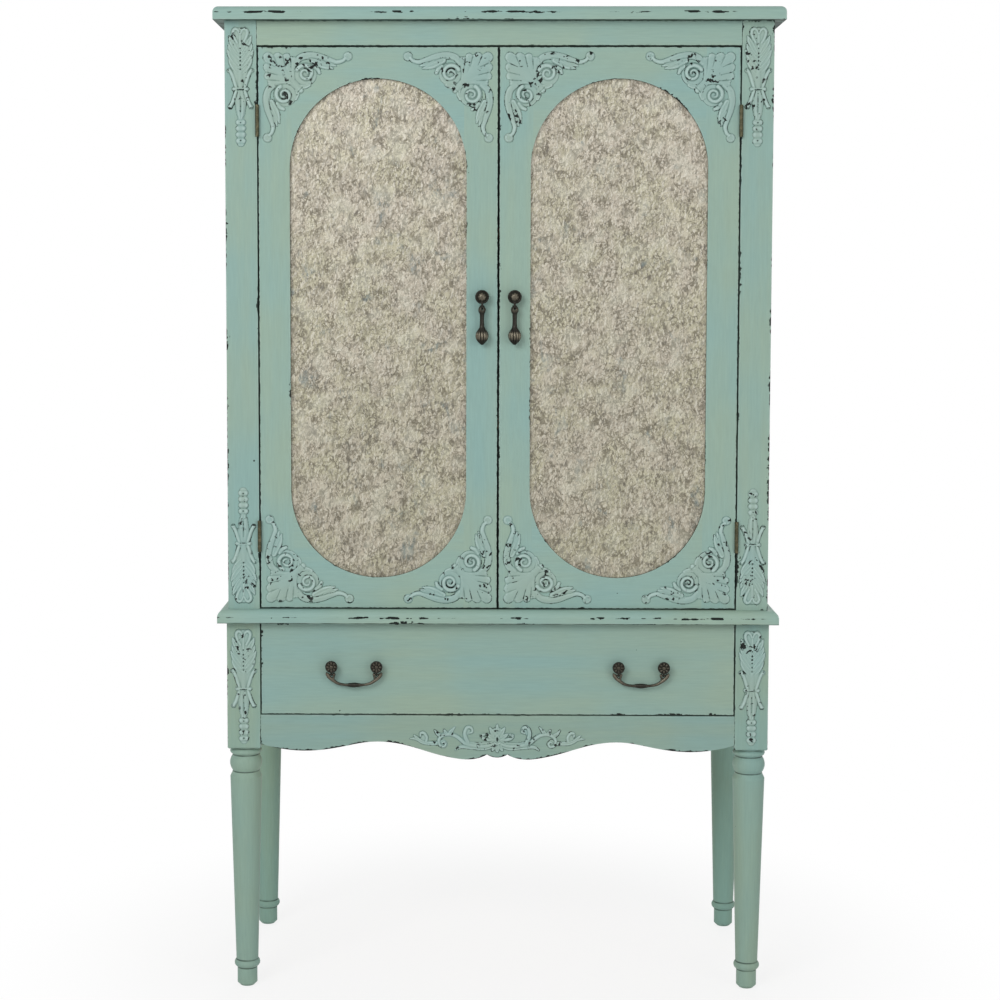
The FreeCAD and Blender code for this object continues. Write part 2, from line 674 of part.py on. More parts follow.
# ---------------------------------------------------------------- aprons
def front_apron():
    """Straight on top and scalloped below, with a small lobe between two cusps in the middle."""
    half, height, drop = block_in.number, size.apron_end_height.number, size.scallop_drop.number
    right = [FreeCAD.Vector(across * half, 0, up * drop) for across, up in APRON_EDGE]
    left = [FreeCAD.Vector(-point.x, 0, point.z) for point in right]
    edges = []
    for points in (left, right):
        curve = Part.BSplineCurve()
        curve.interpolate(points)
        edges.append(curve.toShape())
    edges.append(Part.Arc(left[-1], FreeCAD.Vector(0, 0, APRON_LOBE * drop), right[-1]).toShape())
    corners = [right[0], FreeCAD.Vector(half, 0, height), FreeCAD.Vector(-half, 0, height), left[0]]
    edges += [Part.makeLine(start, end) for start, end in zip(corners, corners[1:])]
    outline_face = doc.addObject("Part::Feature", "apron_outline")
    outline_face.Shape = Part.Face(Part.Wire(Part.__sortEdges__(edges)))
    thing = doc.addObject("Part::Extrusion", "apron")
    thing.Base = outline_face
    thing.DirMode = "Custom"
    thing.Dir = FreeCAD.Vector(0, 1, 0)
    thing.Solid = True
    bind(thing, "LengthFwd", size.apron_thick)
    keep(place(thing, ZERO, apron_face, apron_foot), "apron")


front_apron()
apron_z = (apron_foot, waist_under)
for side_name, side in SIDES:
    x = span(side, block_out - size.side_recess - size.side_apron_thick, block_out - size.side_recess)
    y = (face + size.block_width, back - size.block_width)
    keep(board(f"side_apron_{side_name}", x, y, apron_z), f"side_apron_{side_name}")
rear_y = (rear_apron_front, rear_apron_front + size.rear_apron_thick)
keep(board("rear_apron", (-block_in, block_in), rear_y, apron_z), "rear_apron")


# ---------------------------------------------------------------- doors: frame, mirror and strips
def stadium(label, middle_x, y):
    """The space of a mirror opening, straight sided with a half round at each end."""
    straight = around(door_mid_z, arch_spring)
    box = board(f"{label}_straight", around(middle_x, opening_radius), y, straight)
    foot = rod(f"{label}_foot", opening_radius, y[1] - y[0], "-y", middle_x, y[1], straight[0])
    head = rod(f"{label}_head", opening_radius, y[1] - y[0], "-y", middle_x, y[1], straight[1])
    return fuse(label, [box, foot, head])


def door_frame(name, side, rebate_x, rebate_z):
    """Two stiles and two arched rails, rebated at the back for the mirror."""
    depth = (panel_face, door_rear)
    lip_rear = panel_face + size.door_lip
    rebate = board(f"{name}_rebate", rebate_x, (lip_rear, door_rear), rebate_z)
    hollow = fuse(f"{name}_hollow", [stadium(f"{name}_opening", door_mid_x * side, depth), rebate])
    drilled = fuse(f"{name}_drilled", [hollow, *screws("door_screw_hole", side, False, size.fit_clearance)])
    rail_in = door_in + size.stile_width + size.stile_lap
    rail_out = door_out - size.stile_width - size.stile_lap
    members = (
        ("hinge_stile", (rail_out, door_out), (door_foot, door_top), drilled),
        ("meeting_stile", (door_in, rail_in), (door_foot, door_top), hollow),
        ("top_rail", (rail_in, rail_out), (door_mid_z + arch_spring, door_top), hollow),
        ("bottom_rail", (rail_in, rail_out), (door_foot, door_mid_z - arch_spring), hollow),
    )
    for member, x, z, tool in members:
        blank = board(f"{name}_{member}_blank", span(side, *x), depth, z)
        keep(cut(f"{name}_{member}", blank, tool), f"{name}_{member}")


def mirror_strips(name, rebate_x, rebate_z, front):
    """Four strips that hold the mirror in its rebate."""
    y = (front, front + size.strip_thick)
    inner_x = (rebate_x[0] + size.strip_width, rebate_x[1] - size.strip_width)
    inner_z = (rebate_z[0] + size.strip_width, rebate_z[1] - size.strip_width)
    strips = [
        board(f"{name}_strip_left", (rebate_x[0], inner_x[0]), y, rebate_z),
        board(f"{name}_strip_right", (inner_x[1], rebate_x[1]), y, rebate_z),
        board(f"{name}_strip_foot", inner_x, y, (rebate_z[0], inner_z[0])),
        board(f"{name}_strip_head", inner_x, y, (inner_z[1], rebate_z[1])),
    ]
    group(f"{name}_mirror_strips", strips)


def door(side_name, side):
    name = f"door_{side_name}"
    rebate_x = around(door_mid_x * side, opening_radius + size.mirror_lap)
    rebate_z = around(door_mid_z, opening_reach + size.mirror_lap)
    door_frame(name, side, rebate_x, rebate_z)
    mirror_x = around(door_mid_x * side, opening_radius + size.mirror_lap - size.mirror_clearance)
    mirror_z = around(door_mid_z, opening_reach + size.mirror_lap - size.mirror_clearance)
    mirror_front = panel_face + size.door_lip
    mirror_rear = mirror_front + size.mirror_thick
    keep(board(f"{name}_mirror", mirror_x, (mirror_front, mirror_rear), mirror_z), f"{name}_mirror")
    mirror_strips(name, rebate_x, rebate_z, mirror_rear)


for side_name, side in SIDES:
    door(side_name, side)


# ---------------------------------------------------------------- hinges
def hinge_leaf(label, side, on_post, foot):
    """A leaf with its knuckles: the post's leaf has the first, third and fifth, the door's the others."""
    way = side if on_post else -side
    inner = hinge_x * side + size.leaf_clearance / 2 * way
    outer = inner + leaf_thick * way
    x = (inner, outer) if way > 0 else (outer, inner)
    y = (leaf_front, leaf_front + size.leaf_depth)
    parts = [board(f"{label}_plate", x, y, (foot, foot + size.hinge_height))]
    axis = (hinge_x * side, hinge_y)
    pitch = size.hinge_height / KNUCKLES
    for number in range(0 if on_post else 1, KNUCKLES, 2):
        low = foot + pitch * number + size.knuckle_gap / 2
        z = (low, low + pitch - size.knuckle_gap)
        parts.append(board(f"{label}_web_{number}", x, (hinge_y, leaf_front), z))
        parts.append(rod(f"{label}_knuckle_{number}", size.knuckle_radius, z[1] - z[0], "z", *axis, low))
    bore_radius = size.hinge_pin_radius + size.fit_clearance
    holes = [rod(f"{label}_bore", bore_radius, size.hinge_height, "z", *axis, foot)]
    for end, step in (("foot", -1), ("head", 1)):
        holes.append(screw(f"{label}_hole_{end}", side, on_post, foot, step, size.fit_clearance))
    return cut(label, fuse(f"{label}_solid", parts), fuse(f"{label}_holes", holes))


post_leaves = []
post_screws = []
hinge_pins = []
for side_name, side in SIDES:
    door_leaves = []
    for level, foot in zip(("lower", "upper"), hinge_feet):
        tag = f"{level}_{side_name}"
        post_leaves.append(hinge_leaf(f"post_leaf_{tag}", side, True, foot))
        door_leaves.append(hinge_leaf(f"door_leaf_{tag}", side, False, foot))
        pin_place = (hinge_x * side, hinge_y, foot)
        hinge_pins.append(rod(f"hinge_pin_{tag}", size.hinge_pin_radius, size.hinge_height, "z", *pin_place))
    post_screws += screws("post_screw", side, True, ZERO)
    group(f"door_{side_name}_hinge_leaves", door_leaves)
    group(f"door_{side_name}_hinge_screws", screws("door_screw", side, False, ZERO))
group("post_hinge_leaves", post_leaves)
group("post_hinge_screws", post_screws)
group("hinge_pins", hinge_pins)

# ---------------------------------------------------------------- magnetic catches and strike plates
catches = []
for side_name, side in SIDES:
    middle = size.catch_spacing / 2 * side
    catch_y = (frieze_y[1], frieze_y[1] + size.catch_depth)
    catch_z = (door_top - size.catch_lap, door_top - size.catch_lap + size.catch_height)
    catches.append(board(f"catch_{side_name}", around(middle, size.catch_width / 2), catch_y, catch_z))
    strike_y = (door_rear, door_rear + size.strike_thick)
    strike_z = (door_top - size.strike_height, door_top)
    strike = board(f"strike_{side_name}", around(middle, size.strike_width / 2), strike_y, strike_z)
    keep(strike, f"door_{side_name}_strike")
group("door_catches", catches)


# ---------------------------------------------------------------- door pulls and their drops
pull_x = door_in + size.stile_width / 2
pull_z = door_mid_z + size.pull_rise
drop_y = panel_face - drop_out
drop_z = pull_z - size.pivot_below


def tongue(label, thick, radius, x, y, z, top):
    """A flat tongue with a round end about the pivot at x, y, z."""
    blade = board(f"{label}_blade", around(x, thick / 2), around(y, radius), (z, top))
    end = rod(f"{label}_end", radius, thick, "x", x - thick / 2, y, z)
    return fuse(label, [blade, end])


def door_pull(side_name, x):
    """The fixed part of a door pull: foot, neck and head, with a tongue and a pin that carry the drop."""
    neck_end = size.pull_plate_thick + size.pull_neck_length
    corners = [
        (ZERO, ZERO),
        (size.pull_plate_radius, ZERO),
        (size.pull_plate_radius, size.pull_plate_thick),
        (size.pull_neck_radius, size.pull_plate_thick + size.pull_neck_length / 2),
        (size.pull_neck_radius, neck_end),
        *curve_points(HEAD_CURVE, size.pull_head_radius, size.pull_head_length, neck_end),
        (ZERO, neck_end + size.pull_head_length),
    ]
    knob = turned(f"pull_knob_{side_name}", corners)
    place(turn(knob, (1, 0, 0), 90), x, panel_face, pull_z)
    carrier = tongue(f"pull_tongue_{side_name}", size.tongue_thick, size.tongue_radius, x, drop_y, drop_z,
                     pull_z - size.pull_neck_radius)
    half = size.tongue_thick / 2 + size.joint_clearance + size.cheek_thick
    pin = rod(f"pull_pin_{side_name}", size.pivot_radius, half * 2, "x", x - half, drop_y, drop_z)
    keep(fuse(f"door_{side_name}_pull", [knob, carrier, pin]), f"door_{side_name}_pull")


def pull_drop(side_name, x):
    """The swinging drop of a door pull: a fork on the pin, a cap, a thin stem and a pointed bulb."""
    stem_top = size.bulb_length + size.stem_length
    rim = stem_top + size.cap_flare
    cap_top = rim + size.cap_thick
    crown = size.drop_length - size.tongue_radius - size.joint_clearance
    corners = [
        (ZERO, ZERO),
        *curve_points(BULB_CURVE, size.bulb_radius, size.bulb_length, ZERO),
        (size.stem_radius, size.bulb_length),
        (size.stem_radius, stem_top),
        (size.cap_radius, rim),
        (size.cap_radius, cap_top),
        (size.cheek_radius, crown),
        (ZERO, crown),
    ]
    body = turned(f"drop_turning_{side_name}", corners)
    place(body, x, drop_y, drop_z - size.drop_length)
    half = size.tongue_thick / 2 + size.joint_clearance + size.cheek_thick
    end = rod(f"fork_end_{side_name}", size.cheek_radius, half * 2, "x", x - half, drop_y, drop_z)
    cap_z = drop_z - size.drop_length + cap_top
    cheeks = board(f"fork_{side_name}", around(x, half), around(drop_y, size.cheek_radius), (cap_z, drop_z))
    bore_radius = size.pivot_radius + size.fit_clearance
    bore = rod(f"fork_bore_{side_name}", bore_radius, half * 2, "x", x - half, drop_y, drop_z)
    slot_x = around(x, size.tongue_thick / 2 + size.joint_clearance)
    slot_z = (drop_z - size.tongue_radius - size.joint_clearance, drop_z + size.cheek_radius)
    slot = board(f"fork_slot_{side_name}", slot_x, around(drop_y, size.cheek_radius), slot_z)
    whole = fuse(f"drop_whole_{side_name}", [body, end, cheeks])
    label = f"pull_drop_{side_name}"
    keep(cut(label, whole, fuse(f"drop_holes_{side_name}", [bore, slot])), label)


for side_name, side in SIDES:
    door_pull(side_name, pull_x * side)
    pull_drop(side_name, pull_x * side)

# ---------------------------------------------------------------- drawer
bottom_foot = drawer_side_foot + size.drawer_bottom_rise
bottom_z = (bottom_foot, bottom_foot + size.drawer_bottom_thick)
groove_half = drawer_in + size.groove_depth
groove_front = drawer_front_rear - size.groove_depth
front_half = block_in - size.drawer_gap
side_y = (drawer_front_rear, drawer_rear)
groove = board("drawer_groove", (-groove_half, groove_half), (groove_front, drawer_rear), bottom_z)
front_y = (panel_face, drawer_front_rear)
front_blank = board("drawer_front_blank", (-front_half, front_half), front_y, (drawer_foot, drawer_top))
keep(cut("drawer_front", front_blank, groove), "drawer_front")
for side_name, side in SIDES:
    side_z = (drawer_side_foot, drawer_side_top)
    blank = board(f"drawer_side_{side_name}_blank", span(side, drawer_in, drawer_out), side_y, side_z)
    keep(cut(f"drawer_side_{side_name}", blank, groove), f"drawer_side_{side_name}")
drawer_back_y = (drawer_rear - size.drawer_side_thick, drawer_rear)
drawer_back_z = (bottom_z[1], drawer_side_top - size.drawer_back_drop)
keep(board("drawer_back", (-drawer_in, drawer_in), drawer_back_y, drawer_back_z), "drawer_back")
bottom_half = groove_half - size.groove_clearance
bottom_y = (groove_front + size.groove_clearance, drawer_rear)
keep(board("drawer_bottom", (-bottom_half, bottom_half), bottom_y, bottom_z), "drawer_bottom")

# ---------------------------------------------------------------- runners and kickers
rails = []
rail_y = (drawer_front_rear + size.rail_setback, rear_apron_front)
runner_top = drawer_side_foot - size.runner_clearance
for side_name, side in SIDES:
    runner_x = span(side, drawer_in - size.runner_ledge, block_in)
    kicker_x = span(side, drawer_in - size.kicker_ledge, block_in)
    runner_z = (runner_top - size.runner_height, runner_top)
    rails.append(board(f"runner_{side_name}", runner_x, rail_y, runner_z))
    kicker_z = (drawer_side_top + size.kicker_clearance, waist_under)
    rails.append(board(f"kicker_{side_name}", kicker_x, rail_y, kicker_z))
group("drawer_runners", rails)

# ---------------------------------------------------------------- drawer pulls: posts and bails
bail_out = size.swell_radius + size.bail_clearance
bail_y = panel_face - bail_out
rosette_z = drawer_foot + size.bail_post_rise
bail_z = rosette_z - size.rosette_radius - size.bail_radius - size.joint_clearance


def bail_post(label, x):
    """A post of a drawer pull: foot, stem and rosette, with a lug under it that carries the bail."""
    stem_end = bail_out + size.outer_ball_radius + size.joint_clearance
    corners = [
        (ZERO, ZERO),
        (size.bail_plate_radius, ZERO),
        (size.bail_plate_radius, size.bail_plate_thick),
        (size.bail_post_radius, size.bail_plate_thick),
        (size.bail_post_radius, stem_end),
        *curve_points(ROSETTE_CURVE, size.rosette_radius, size.rosette_thick, stem_end),
        (ZERO, stem_end + size.rosette_thick),
    ]
    stem = turned(f"{label}_stem", corners)
    place(turn(stem, (1, 0, 0), 90), x, panel_face, rosette_z)
    lug = tongue(f"{label}_lug", size.lug_thick, size.lug_radius, x, bail_y, bail_z, rosette_z)
    bore_radius = size.bail_pin_radius + size.fit_clearance
    bore = rod(f"{label}_bore", bore_radius, size.lug_thick, "x", x - size.lug_thick / 2, bail_y, bail_z)
    return cut(label, fuse(f"{label}_solid", [stem, lug]), bore)


def arc_edge(centre, radius, start, end):
    """An arc in the XZ plane between two angles, in degrees."""
    points = []
    for degrees in (start, (start + end) / 2, end):
        angle = math.radians(degrees)
        points.append(centre + FreeCAD.Vector(math.cos(angle), 0, math.sin(angle)) * radius)
    return Part.Arc(*points).toShape()


def bail_path(outer_x):
    """The right half of the bail's middle line, from its end down to the middle of the grip."""
    shoulder, rise, bow = size.shoulder_radius.number, size.shoulder_rise.number, size.bow_radius.number
    shoulder_x = outer_x - math.sqrt(shoulder ** 2 - rise ** 2)
    lean = math.degrees(math.asin(shoulder_x / (bow - shoulder)))
    start = -math.degrees(math.asin(rise / shoulder))
    shoulder_centre = FreeCAD.Vector(shoulder_x, 0, rise)
    bow_centre = FreeCAD.Vector(0, 0, rise + (bow - shoulder) * math.cos(math.radians(lean)))
    shoulder_arc = arc_edge(shoulder_centre, shoulder, start, lean - 90)
    return [shoulder_arc, arc_edge(bow_centre, bow, lean - 90, -90)], shoulder_centre, bow_centre.z - bow


def bail(label, middle_x):
    """A bowed grip with a swelling. Each end forks round its lug: outer ball, pin, inner ball, branch."""
    post_x = size.bail_centres.number / 2
    room = size.lug_thick.number / 2 + size.joint_clearance.number
    outer_ball, inner_ball = size.outer_ball_radius.number, size.inner_ball_radius.number
    outer_x = post_x + size.bail_reach.number
    inner_x = post_x - room - inner_ball
    half, shoulder_centre, grip_z = bail_path(outer_x)
    other_half = [edge.mirror(FreeCAD.Vector(), FreeCAD.Vector(1, 0, 0)) for edge in half]
    spine = Part.Wire(Part.__sortEdges__(half + other_half))
    start = spine.OrderedVertexes[0].Point
    tangent = start - FreeCAD.Vector(math.copysign(shoulder_centre.x, start.x), 0, shoulder_centre.z)
    normal = FreeCAD.Vector(-tangent.z, 0, tangent.x)
    section = Part.Wire(Part.Circle(start, normal, size.bail_radius.number).toShape())
    grip = spine.makePipeShell([section], True, False)
    lean = inner_x - shoulder_centre.x
    drop = math.sqrt(size.shoulder_radius.number ** 2 - lean ** 2) - shoulder_centre.z
    pieces = []
    for way in (-1, 1):
        along = FreeCAD.Vector(way, 0, 0)
        outer, inner = along * outer_x, along * inner_x
        pieces.append(Part.makeSphere(outer_ball, outer))
        pieces.append(Part.makeSphere(inner_ball, inner))
        pieces.append(Part.makeCylinder(size.bail_pin_radius.number, outer_x - inner_x, inner, along))
        pieces.append(Part.makeCylinder(size.branch_radius.number, drop, inner, FreeCAD.Vector(0, 0, -1)))
        swelling = (size.swell_radius.number, size.bail_radius.number, size.swell_length.number)
        pieces.append(Part.makeCone(*swelling, FreeCAD.Vector(0, 0, grip_z), along))
    thing = doc.addObject("Part::Feature", label)
    thing.Shape = grip.multiFuse(pieces).removeSplitter()
    keep(place(thing, middle_x, bail_y, bail_z), label)


bail_posts = []
for side_name, side in SIDES:
    middle = (front_half - size.bail_inset) * side
    for end_name, step in (("outer", 1), ("inner", -1)):
        x = middle + size.bail_centres / 2 * (step * side)
        bail_posts.append(bail_post(f"bail_post_{side_name}_{end_name}", x))
    bail(f"bail_{side_name}", middle)
group("bail_posts", bail_posts)


# ---------------------------------------------------------------- applied carvings
def side_edge(points):
    if len(points) == 2:
        return Part.makeLine(*points)
    curve = Part.BSplineCurve()
    curve.interpolate(points)
    return curve.toShape()


def stroke_plate(stroke, thick):
    """A plate along a leaf or a scroll, with a curve down each side and round at both ends."""
    centres = [FreeCAD.Vector(across, 0, up) for across, up, half in stroke]
    lefts, rights = [], []
    for number, (centre, (across, up, half)) in enumerate(zip(centres, stroke)):
        along = centres[min(number + 1, len(centres) - 1)] - centres[max(number - 1, 0)]
        sideways = FreeCAD.Vector(-along.z, 0, along.x).normalize() * half
        lefts.append(centre + sideways)
        rights.append(centre - sideways)
    nose = centres[-1] + (centres[-1] - centres[-2]).normalize() * stroke[-1][2]
    tail = centres[0] + (centres[0] - centres[1]).normalize() * stroke[0][2]
    edges = [
        side_edge(lefts),
        Part.Arc(lefts[-1], nose, rights[-1]).toShape(),
        side_edge(rights[::-1]),
        Part.Arc(rights[0], tail, lefts[0]).toShape(),
    ]
    return Part.Face(Part.Wire(edges)).extrude(FreeCAD.Vector(0, thick, 0))


def carving_shape(discs, strokes):
    thick = size.carving_thick.number
    along = FreeCAD.Vector(0, 1, 0)
    solids = [Part.makeCylinder(radius, thick, FreeCAD.Vector(x, 0, z), along) for x, z, radius in discs]
    solids += [stroke_plate(stroke, thick) for stroke in strokes]
    return solids[0].multiFuse(solids[1:]).removeSplitter()


def flipped(point, across, up):
    return (point[0] * across, point[1] * up, point[2])


def with_mirror(strokes):
    """Every stroke, and the mirror image of each that leaves the middle line."""
    off_middle = [stroke for stroke in strokes if any(point[0] for point in stroke)]
    return [*strokes, *[tuple(flipped(point, -1, 1) for point in stroke) for stroke in off_middle]]


def corner_carving_shape():
    """A leaf fan in the corner, a volute beside it and a scrolling tail along each edge."""
    strokes = [(CORNER_ROOT, lobe) for lobe in CORNER_LOBES]
    strokes += [*CORNER_STROKES, *[tuple((v, u, half) for u, v, half in stroke) for stroke in CORNER_STROKES]]
    discs = [*CORNER_DISCS, *[(v, u, radius) for u, v, radius in CORNER_DISCS]]
    downwards = [tuple(flipped(point, 1, -1) for point in stroke) for stroke in strokes]
    return carving_shape([flipped(disc, 1, -1) for disc in discs], downwards)


def middle_carving_shape(discs, strokes, up):
    all_discs = [flipped(disc, across, up) for disc in discs for across in (1, -1)]
    all_strokes = [tuple(flipped(point, 1, up) for point in stroke) for stroke in with_mirror(strokes)]
    return carving_shape(all_discs, all_strokes)


def carving(label, shape, x, y, z, mirror_x=False, mirror_z=False):
    """A copy of a carving with its back on the wood at y."""
    if mirror_x:
        shape = shape.mirror(FreeCAD.Vector(), FreeCAD.Vector(1, 0, 0))
    if mirror_z:
        shape = shape.mirror(FreeCAD.Vector(), FreeCAD.Vector(0, 0, 1))
    thing = doc.addObject("Part::Feature", label)
    thing.Shape = shape
    return place(thing, x, y - size.carving_thick, z)


def door_carvings(side_name, side):
    corners = []
    inset = size.corner_carving_inset
    for stile, x, mirror_x in (
        ("hinge", (door_out - inset) * side, side > 0),
        ("meeting", (door_in + inset) * side, side < 0),
    ):
        for end, z, mirror_z in (("head", door_top - inset, False), ("foot", door_foot + inset, True)):
            label = f"corner_carving_{side_name}_{stile}_{end}"
            corners.append(carving(label, corner_shape, x, panel_face, z, mirror_x, mirror_z))
    group(f"door_{side_name}_carvings", corners)


corner_shape = corner_carving_shape()
post_shape = middle_carving_shape(POST_DISCS, POST_STROKES, -1)
apron_shape = middle_carving_shape(APRON_DISCS, APRON_STROKES, 1)
post_carvings = []
for side_name, side in SIDES:
    door_carvings(side_name, side)
    post_x = (post_in + post_out) / 2 * side
    for label, x, z, mirror_z in (
        ("post_head", post_x, post_top - size.head_carving_drop, False),
        ("post_foot", post_x, waist_top + size.foot_carving_rise, True),
        ("block", leg_x * side, waist_under - size.block_carving_drop, False),
    ):
        post_carvings.append(carving(f"{label}_carving_{side_name}", post_shape, x, face, z, False, mirror_z))
group("post_carvings", post_carvings)
apron_carving_z = apron_top - size.apron_carving_drop
keep(carving("apron_carving", apron_shape, ZERO, apron_face, apron_carving_z), "apron_carving")

# ---------------------------------------------------------------- check and export
doc.recompute()
for thing in doc.Objects:
    if "Invalid" in thing.State or "Error" in thing.State:
        raise RuntimeError(f"{thing.Label} failed: {thing.State}")
for thing in exported:
    if thing.Shape.isNull() or not thing.Shape.isValid() or not thing.Shape.Solids:
        raise RuntimeError(f"{thing.Label} has no valid solid")
os.makedirs("parts", exist_ok=True)
for thing in exported:
    thing.Shape.exportStep(f"parts/{thing.Label}.step")
box = FreeCAD.BoundBox()
for thing in exported:
    box.add(thing.Shape.BoundBox)
print(f"{len(exported)} nodes, {box.XLength:.2f} x {box.YLength:.2f} x {box.ZLength:.2f}, from", box)
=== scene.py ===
import math

import bmesh
import bpy
import numpy as np
from mathutils import Matrix, Vector


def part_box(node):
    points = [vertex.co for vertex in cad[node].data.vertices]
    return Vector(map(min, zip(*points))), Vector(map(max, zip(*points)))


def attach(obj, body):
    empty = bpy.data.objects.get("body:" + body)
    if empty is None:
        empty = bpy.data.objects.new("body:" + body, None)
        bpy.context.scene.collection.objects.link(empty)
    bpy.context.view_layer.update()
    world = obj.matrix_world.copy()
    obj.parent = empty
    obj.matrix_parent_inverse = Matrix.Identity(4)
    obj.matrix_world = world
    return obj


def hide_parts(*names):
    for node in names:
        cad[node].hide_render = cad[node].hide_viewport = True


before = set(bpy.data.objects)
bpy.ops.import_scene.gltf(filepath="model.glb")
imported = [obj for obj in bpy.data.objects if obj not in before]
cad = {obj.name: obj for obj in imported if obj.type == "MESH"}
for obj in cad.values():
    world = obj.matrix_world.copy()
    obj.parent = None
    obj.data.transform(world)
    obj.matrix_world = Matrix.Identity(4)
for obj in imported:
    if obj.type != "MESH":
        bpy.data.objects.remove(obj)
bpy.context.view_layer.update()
scene = bpy.context.scene

# ---------------------------------------------------------------- cornice board and waist board
# Two poplar boards. The cornice caps the upper case, the waist board carries it. The upper edge of each is
# rounded at the front and the ends. Sage milk paint is brushed over a near-black undercoat, and is rubbed
# through in dashes along the line where the round meets the flat edge.
MM = 0.001


def shade(red, green, blue):
    """A paint chip's screen values, 0 to 255, as the linear colour that a shader takes."""
    steps = [value / 255 for value in (red, green, blue)]
    return (*[step / 12.92 if step <= 0.04045 else ((step + 0.055) / 1.055) ** 2.4 for step in steps], 1)


class Value:
    """What a node gives out. Sums, differences and products of values are written with + - * and abs."""

    def __init__(self, socket):
        self.socket, self.tree = socket, socket.id_data

    def __add__(self, other):
        return reckon("ADD", self, other)

    def __sub__(self, other):
        return reckon("SUBTRACT", self, other)

    def __mul__(self, other):
        return reckon("MULTIPLY", self, other)

    def __abs__(self):
        return reckon("ABSOLUTE", self)


def node(tree, kind, inputs=(), **settings):
    """A new node, with its settings made and each input given a value or a link."""
    made = tree.nodes.new(kind)
    for key, value in settings.items():
        setattr(made, key, value)
    for where, value in dict(inputs).items():
        value = value.socket if isinstance(value, Value) else value
        if isinstance(value, bpy.types.NodeSocket):
            tree.links.new(value, made.inputs[where])
        else:
            made.inputs[where].default_value = value
    return made


def tree_of(values):
    return next(value.tree for value in values if isinstance(value, Value))


def reckon(operation, *values, kind="ShaderNodeMath"):
    """A math node over values and plain numbers."""
    return Value(node(tree_of(values), kind, dict(enumerate(values)), operation=operation).outputs[0])


def reckon_vector(operation, *values):
    return reckon(operation, *values, kind="ShaderNodeVectorMath")


def split(value):
    """The x, y and z of a vector."""
    return [Value(part) for part in node(value.tree, "ShaderNodeSeparateXYZ", {0: value}).outputs]


def spread(value, low, high, to_low=0.0, to_high=1.0, smooth=True):
    """Maps low..high to to_low..to_high, and holds the ends."""
    inputs = {"Value": value, "From Min": low, "From Max": high, "To Min": to_low, "To Max": to_high}
    kind = "SMOOTHSTEP" if smooth else "LINEAR"
    return Value(node(value.tree, "ShaderNodeMapRange", inputs, interpolation_type=kind).outputs[0])


def cloud(where, size, detail=3.0, rough=0.55, seed=0.0, twist=0.0):
    """Noise with lumps of the given size in metres."""
    inputs = {"Vector": where, "W": seed, "Scale": 1 / size, "Detail": detail, "Roughness": rough,
              "Distortion": twist}
    return Value(node(where.tree, "ShaderNodeTexNoise", inputs, noise_dimensions="4D").outputs[0])


def stretched(where, factors):
    """Places squeezed by the factors, so that what is drawn on them comes out longer."""
    return Value(node(where.tree, "ShaderNodeMapping", {"Vector": where, "Scale": factors}).outputs[0])


def blended(share, first, second, how="MIX"):
    """Colour mix. Each of the three may be a value or a plain number or colour."""
    inputs = {0: share, 6: first, 7: second}
    return Value(node(tree_of(inputs.values()), "ShaderNodeMix", inputs, data_type="RGBA", blend_type=how,
                      clamp_factor=True).outputs[2])


def new_finish(name):
    """A material, its shader, and the place of each point in metres."""
    finish = bpy.data.materials.new(name)
    finish.use_nodes = True
    tree = finish.node_tree
    return finish, tree.nodes["Principled BSDF"], Value(tree.nodes.new("ShaderNodeTexCoord").outputs["Object"])


def lay_on(shader, colour, rough, height, strength, deep):
    """Gives a shader its colour, its roughness, and a bump by height that is deep metres at full strength."""
    bump = node(colour.tree, "ShaderNodeBump", {"Strength": strength, "Distance": deep, "Height": height})
    for name, value in (("Base Color", colour), ("Roughness", rough), ("Normal", Value(bump.outputs[0]))):
        colour.tree.links.new(value.socket, shader.inputs[name])


def to_arris(where, low, high):
    """How far each point of a box is from the nearest arris: the middle one of its three distances inward."""
    offset = reckon_vector("ABSOLUTE", reckon_vector("SUBTRACT", where, tuple((low + high) / 2)))
    x, y, z = split(reckon_vector("SUBTRACT", tuple((high - low) / 2), offset))
    return reckon("MAXIMUM", reckon("MINIMUM", x, y), reckon("MINIMUM", reckon("MAXIMUM", x, y), z))


def to_rim(place, opening):
    """How far each point is from the rim of a round-ended opening."""
    across, up, radius, straight = opening
    rise = reckon("MAXIMUM", abs(place[2] - up) - straight, 0.0)
    run = abs(place[0]) - across
    return abs(reckon("SQRT", run * run + rise * rise) - radius)


def rubbed_line(where, place, line, seed):
    """Bare dashes along the height of line, on a path that wanders a little."""
    dashes = spread(cloud(stretched(where, (0.5, 1, 1)), 0.012, 3, 0.6, seed + 21), 0.46, 0.58)
    runs = spread(cloud(where, 0.09, 1, 0.5, seed + 23), 0.42, 0.53)
    drop = (cloud(where, 0.03, 3, 0.6, seed + 25) - 0.5) * (2.4 * MM)
    return spread(dashes * runs * (2.3 * MM) - abs(place[2] - line - drop), -0.1 * MM, 0.25 * MM)


def rubbed_skirt(where, place, low, high, skirt, chips, seed):
    """Bare patches along a sawn lower edge. A float curve gives the edge's height at each x."""
    sawn = node(where.tree, "ShaderNodeFloatCurve", {"Value": spread(place[0], low.x, high.x, smooth=False)})
    curve = sawn.mapping.curves[0]
    for spot, (across, up) in enumerate(skirt):
        share = ((across - low.x) / (high.x - low.x), (up - low.z) / (high.z - low.z))
        if spot in (0, len(skirt) - 1):
            point = curve.points[-1 if spot else 0]
        else:
            point = curve.points.new(*share)
        point.location, point.handle_type = share, "VECTOR"
    sawn.mapping.update()
    above = place[2] - spread(Value(sawn.outputs[0]), 0, 1, low.z, high.z, smooth=False)
    scraped = spread(cloud(where, 0.03, 2, 0.6, seed + 27), 0.46, 0.58, 0.0, 2.3 * MM) * (chips + 0.45)
    return spread(scraped - above, -0.3 * MM, 0.3 * MM)


